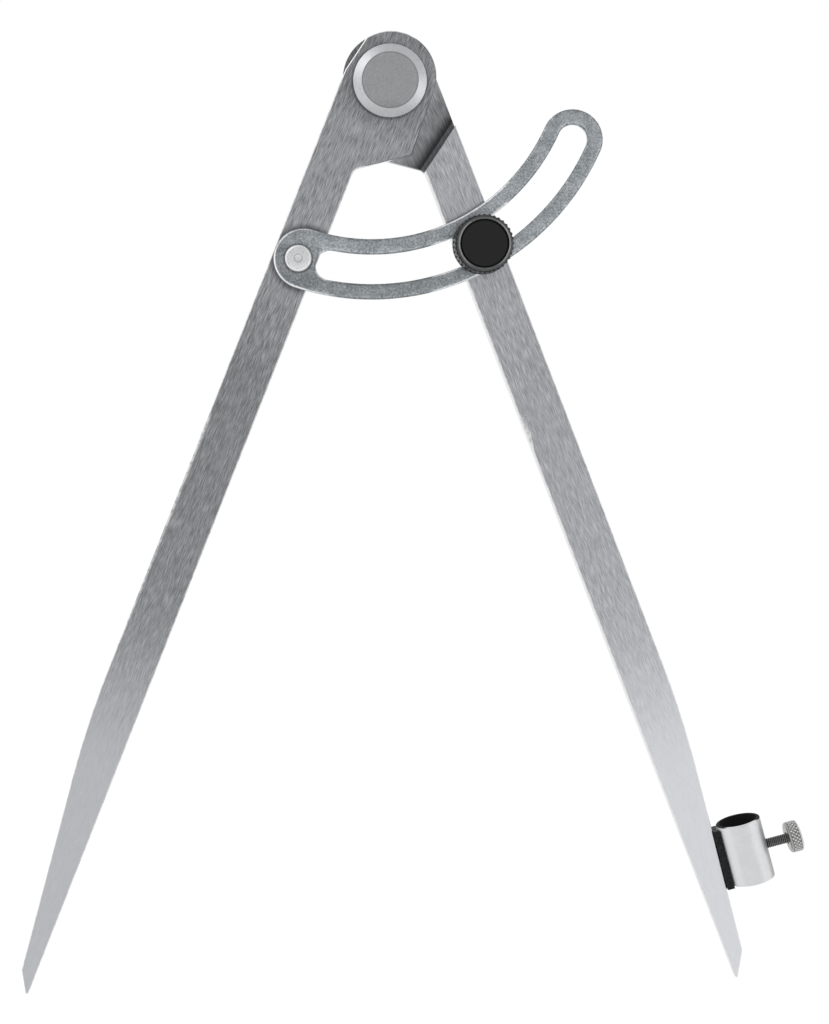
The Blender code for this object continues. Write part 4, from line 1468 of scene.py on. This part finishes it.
def make_wing_rivet():
    bright = turned_metal(
        "bright_rivet_steel",
        rivet_place,
        dark=(0.72, 0.73, 0.74),
        light=(0.98, 0.985, 0.99),
        roughness=0.3,
        corner=WING_RIVET_DIMPLE_RADIUS,
        metallic=0.5,
        specks=1.0,
    )
    seat = wing_front + SEAT_GAP
    turned_piece("wing_rivet", rivet_place, bright, "left_leg", SMALL_SIDES, [
        (0, rivet_back, 0),
        (WING_RIVET_RADIUS, rivet_back, SMALL_CORNER_RADIUS),
        (WING_RIVET_RADIUS, seat, 0),
        (WING_RIVET_HEAD_RADIUS, seat, SMALL_CORNER_RADIUS),
        (WING_RIVET_HEAD_RADIUS, rivet_front, WING_RIVET_CORNER_RADIUS),
        (WING_RIVET_DIMPLE_RADIUS, rivet_front, PIVOT_CORNER_RADIUS),
        (0, rivet_front - WING_RIVET_DIMPLE_DEPTH, 0),
    ])


# Clamp


def make_clamp():
    steel = turned_metal(
        "clamp_steel",
        stud_place,
        dark=(0.50, 0.50, 0.505),
        light=(0.62, 0.62, 0.625),
        roughness=0.36,
        corner=STUD_HEAD_RADIUS - STUD_CORNER_RADIUS,
    )
    turned_piece("clamp_stud", stud_place, steel, "right_leg", SMALL_SIDES, [
        (0, stud_back, 0),
        (STUD_HEAD_RADIUS, stud_back, STUD_CORNER_RADIUS),
        (STUD_HEAD_RADIUS, stud_back + STUD_HEAD_HEIGHT, SMALL_CORNER_RADIUS),
        (STUD_RADIUS, stud_back + STUD_HEAD_HEIGHT, 0),
        (STUD_RADIUS, stud_front, SMALL_CORNER_RADIUS),
        (0, stud_front, 0),
    ])
    bore = STUD_RADIUS + BORE_CLEARANCE
    turned_piece("clamp_washer", stud_place, steel, "clamp_washer", SMALL_SIDES, [
        (bore, washer_back, 0),
        (CLAMP_WASHER_RADIUS, washer_back, SMALL_CORNER_RADIUS),
        (CLAMP_WASHER_RADIUS, washer_front, SMALL_CORNER_RADIUS),
        (bore, washer_front, 0),
    ])


def make_knob():
    nickel = knob_nickel(stud_place)
    bore = STUD_RADIUS + BORE_CLEARANCE
    insert_radius = bore + INSERT_WALL
    pocket_radius = KNOB_RADIUS - SEAT_GAP - KNOB_RIM_WIDTH
    pocket_floor = cap_back - SEAT_GAP
    body = rounded_profile([
        (insert_radius + SEAT_GAP, knob_back, 0),
        (KNOB_RADIUS, knob_back, KNOB_FOOT_RADIUS),
        (KNOB_RADIUS, knob_front - KNOB_SHOULDER_DEPTH, KNOB_SHOULDER_RADIUS),
        (KNOB_RADIUS - KNOB_SHOULDER_WIDTH, knob_front, SMALL_CORNER_RADIUS),
        (pocket_radius, knob_front, SMALL_CORNER_RADIUS),
        (pocket_radius, pocket_floor, 0),
        (insert_radius + SEAT_GAP, pocket_floor, 0),
    ])
    barrel = turned(finer(body, KNURL_RUN_OUT), KNOB_TEETH * TOOTH_STEPS)
    mesh = grown(
        barrel,
        RIDGES,
        ridges=KNOB_TEETH,
        depth=KNOB_TOOTH_DEPTH,
        low=knob_back + KNURL_RUN_OUT,
        high=knob_front - KNURL_RUN_OUT,
        run_out=KNURL_RUN_OUT,
        least_radius=pocket_radius + SEAT_GAP,
        finish=nickel,
    )
    piece("knob_body", mesh, stud_place, nickel, "knob")
    cap_radius = pocket_radius - SEAT_GAP
    black = cap_black(stud_place)
    turned_piece("knob_cap", stud_place, black, "knob", FINE_SIDES, [
        (0, cap_back, 0),
        (cap_radius, cap_back, SMALL_CORNER_RADIUS),
        (cap_radius, cap_front, CAP_CORNER_RADIUS),
        (0, cap_front, 0),
    ])
    brass = turned_metal(
        "turned_brass",
        stud_place,
        dark=(0.62, 0.45, 0.17),
        light=(0.78, 0.58, 0.26),
        roughness=0.32,
        corner=insert_radius,
    )
    turned_piece("knob_insert", stud_place, brass, "knob", SMALL_SIDES, [
        (bore, insert_back, SMALL_CORNER_RADIUS),
        (insert_radius, insert_back, SMALL_CORNER_RADIUS),
        (insert_radius, insert_front, 0),
        (bore, insert_front, 0),
    ])


# Pencil holder


def make_tube():
    inner = TUBE_RADIUS - TUBE_WALL
    half = TUBE_LENGTH / 2
    wall = rounded_profile([
        (inner, -half, SMALL_CORNER_RADIUS),
        (TUBE_RADIUS, -half, TUBE_LIP_RADIUS),
        (TUBE_RADIUS, half, TUBE_LIP_RADIUS),
        (inner, half, SMALL_CORNER_RADIUS),
    ])
    radius = SCREW_RADIUS + BORE_CLEARANCE
    hole = rod(radius, 0, TUBE_RADIUS + CUT_OVERRUN, SMALL_SIDES)
    hole.transform(tube_lie.inverted() @ screw_lie)
    mesh = carved(turned(wall, FINE_SIDES), [hole])
    satin = tube_satin(tube_lie)
    piece("pencil_tube", mesh, tube_lie, satin, "right_leg")


def make_saddle():
    """The bar between the leg's edge and the tube, hollowed where the tube lies on it."""
    slope = math.tan(TAPER_ANGLE)
    outline = []
    for along_share in (-1, 1):
        start = tube_middle + tube_down * (along_share * SADDLE_LENGTH / 2 + SADDLE_BELOW_MIDDLE)
        tube_side = start - tube_away * SADDLE_TO_AXIS
        across, along = start.x - EDGE_OFF_PIVOT, HEAD_BEYOND_PIVOT - start.y
        across_to_edge = across - tapered_width(RIGHT_REACH - along, RIGHT_TAPER_LENGTH)
        run = (across_to_edge - SEAT_GAP) / (tube_away.x + tube_away.y * slope)
        leg_side = start - tube_away * run
        pair = [tube_side, leg_side]
        outline += pair if along_share < 0 else pair[::-1]
    outline = [tuple(point[:2]) for point in outline]
    base = leg_middle - SADDLE_DEPTH / 2
    bar = rounded_plate(outline, base, base + SADDLE_DEPTH, SADDLE_EDGE_RADIUS)
    bed_radius = TUBE_RADIUS + SEAT_GAP
    half = SADDLE_LENGTH / 2 + SADDLE_BELOW_MIDDLE + CUT_OVERRUN
    bed = rod(bed_radius, -half, half, FINE_SIDES)
    bed.transform(right_place.inverted() @ tube_lie)
    mesh = carved(bar, [bed])
    black = bracket_black(right_place)
    piece("holder_bracket", mesh, right_place, black, "right_leg")


# Thumbscrew


def make_thumbscrew():
    inner_end = TUBE_RADIUS - TUBE_WALL - SCREW_REACH_IN
    head_back = TUBE_RADIUS + SCREW_SHANK_SHOWN
    socket_end = head_back + SCREW_HEAD_SOCKET
    dark = threaded_steel(screw_lie)
    shank = rounded_profile([
        (0, inner_end, 0),
        (SCREW_RADIUS, inner_end, SMALL_CORNER_RADIUS),
        (SCREW_RADIUS, socket_end, 0),
        (0, socket_end, 0),
    ])
    barrel = turned(finer(shank, SCREW_PITCH / TOOTH_STEPS), SMALL_SIDES // 2)
    mesh = grown(
        barrel,
        RIDGES,
        ridges=1.0,
        turns_per_metre=1 / SCREW_PITCH,
        depth=SCREW_THREAD_DEPTH,
        low=inner_end,
        high=socket_end + SCREW_PITCH,
        run_out=SCREW_PITCH,
        least_radius=SCREW_RADIUS * BARREL_SHARE,
        finish=dark,
    )
    piece("thumbscrew_shank", mesh, screw_lie, dark, "thumbscrew_shank")
    nickel = knurled_nickel(screw_lie)
    head_front = head_back + SCREW_HEAD_LENGTH
    socket_radius = SCREW_RADIUS + BORE_CLEARANCE
    head = rounded_profile([
        (0, head_front, 0),
        (0, socket_end + SEAT_GAP, 0),
        (socket_radius, socket_end + SEAT_GAP, 0),
        (socket_radius, head_back, SMALL_CORNER_RADIUS),
        (SCREW_HEAD_RADIUS, head_back, SCREW_HEAD_CORNER_RADIUS),
        (SCREW_HEAD_RADIUS, head_front, SCREW_HEAD_CORNER_RADIUS),
    ])
    tooth_pitch = math.tau * SCREW_HEAD_RADIUS / SCREW_HEAD_TEETH
    barrel = turned(finer(head, tooth_pitch / TOOTH_STEPS), SCREW_HEAD_TEETH * TOOTH_STEPS)
    mesh = grown(
        barrel,
        RIDGES,
        ridges=SCREW_HEAD_TEETH,
        turns_per_metre=1 / tooth_pitch,
        depth=SCREW_TOOTH_DEPTH,
        low=head_back + SCREW_HEAD_CHAMFER / 2,
        high=head_front - SCREW_HEAD_CHAMFER / 2,
        run_out=SCREW_HEAD_CHAMFER / 2,
        least_radius=SCREW_HEAD_RADIUS * BARREL_SHARE,
        crossed=1.0,
        finish=nickel,
    )
    piece("thumbscrew_head", mesh, screw_lie, nickel, "thumbscrew_head")


# Studio

FRONT_LEVEL = 0.42
SIDE_LEVEL = 1.05
SIDE_TILT_LEFT = 0.16
TOP_LEVEL = 0.82
BACK_LEVEL = 0.9
FRONT_TILT_RIGHT = 0.5
FRONT_TILT_DOWN = 0.5
FLOOR_SIZE = 6.0
FLOOR_SHADOW_SHARE = 0.12
FLOOR_LEVEL = 1.06
FLOOR_COLOUR = (0.92, 0.92, 0.92, 1.0)
WHITE = (1.0, 1.0, 1.0, 1.0)
FRONT_OUTER_ANGLE = math.radians(58)
FRONT_INNER_ANGLE = math.radians(12)
BEHIND_END = -0.3
NO_ZERO = 0.001
LAMP_AIM = (0, 0, -0.1)


def seen_directly(tree):
    """For a ray from the camera, a reflection or glass: 1 for the one that it is."""
    path = put(tree, "ShaderNodeLightPath").outputs
    return [Value(path[f"Is {ray} Ray"]) for ray in ("Camera", "Glossy", "Transmission")]


def make_world():
    """A white backdrop behind the object, and a soft grey studio with bright sides before it."""
    world = bpy.data.worlds.new("studio")
    world.use_nodes = True
    bpy.context.scene.world = world
    tree = world.node_tree
    direction = Value(put(tree, "ShaderNodeTexCoord").outputs["Generated"])
    x, y, z = parts_of(direction)
    squares = [maths("POWER", part, 2.0) for part in (x, z)]
    sideways = squares[0] / (squares[0] + squares[1] + NO_ZERO)
    around = blend(sideways, TOP_LEVEL, SIDE_LEVEL) * (1.0 - x * SIDE_TILT_LEFT)
    centre = (x * FRONT_TILT_RIGHT + 1.0 - z * FRONT_TILT_DOWN) * FRONT_LEVEL
    front = y * -1.0
    ahead = fade(front, math.cos(FRONT_OUTER_ANGLE), math.cos(FRONT_INNER_ANGLE))
    behind = fade(front, 0.0, BEHIND_END)
    level = blend(behind, blend(ahead, around, centre), BACK_LEVEL)
    camera, glossy_reflection, through = seen_directly(tree)
    shown = clamped(camera + (glossy_reflection + through) * behind)
    background = tree.nodes["Background"]
    feed(background.inputs["Strength"], blend(shown, level, 1.0))
    background.inputs["Color"].default_value = WHITE


def make_floor():
    """A wide white floor under the points, which keeps a faint shadow."""
    level = cad_box[0].z
    mesh = bpy.data.meshes.new("floor")
    half = FLOOR_SIZE / 2
    corners = [(x, y, level) for x, y in ((-half, -half), (half, -half), (half, half), (-half, half))]
    mesh.from_pydata(corners, [], [(0, 1, 2, 3)])
    floor = in_scene("floor", mesh)
    material = bpy.data.materials.new("floor_white")
    material.use_nodes = True
    tree = material.node_tree
    tree.nodes.clear()
    matt = Value(put(tree, "ShaderNodeBsdfDiffuse", {"Color": FLOOR_COLOUR}).outputs[0])
    glow = {"Color": WHITE, "Strength": FLOOR_LEVEL}
    white = Value(put(tree, "ShaderNodeEmission", glow).outputs[0])
    camera, glossy_reflection, through = seen_directly(tree)
    share = clamped(camera + (glossy_reflection + through)) * (1 - FLOOR_SHADOW_SHARE)
    mix = joined([share], "ShaderNodeMixShader", {0: share, 1: matt, 2: white})
    put(tree, "ShaderNodeOutputMaterial", {"Surface": mix}).is_active_output = True
    mesh.materials.append(material)


def make_lamp(name, place, size, power):
    """A soft square lamp that the camera doesn't see."""
    data = bpy.data.lights.new(name, "AREA")
    data.shape = "SQUARE"
    data.size = size
    data.energy = power
    lamp = in_scene(name, data)
    lamp.location = place
    lamp.rotation_euler = (Vector(LAMP_AIM) - Vector(place)).to_track_quat("-Z", "Y").to_euler()
    lamp.visible_camera = False


def make_camera():
    data = bpy.data.cameras.new("camera")
    data.lens = CAMERA_LENS
    data.shift_x, data.shift_y = CAMERA_SHIFT
    data.clip_start = 0.01
    camera = in_scene("camera", data)
    camera.location = CAMERA_PLACE
    camera.rotation_euler = (math.pi / 2, 0, 0)
    bpy.context.scene.camera = camera


def make_studio():
    make_world()
    make_floor()
    make_lamp("key", place=(-0.45, -0.65, 0.45), size=0.5, power=0.9)
    make_lamp("fill", place=(0.6, -0.5, -0.05), size=0.4, power=0.3)
    make_camera()
    bpy.context.scene.view_settings.view_transform = "Standard"


make_legs()
make_pivot()
make_wing()
make_wing_rivet()
make_clamp()
make_knob()
make_tube()
make_saddle()
make_thumbscrew()
make_studio()
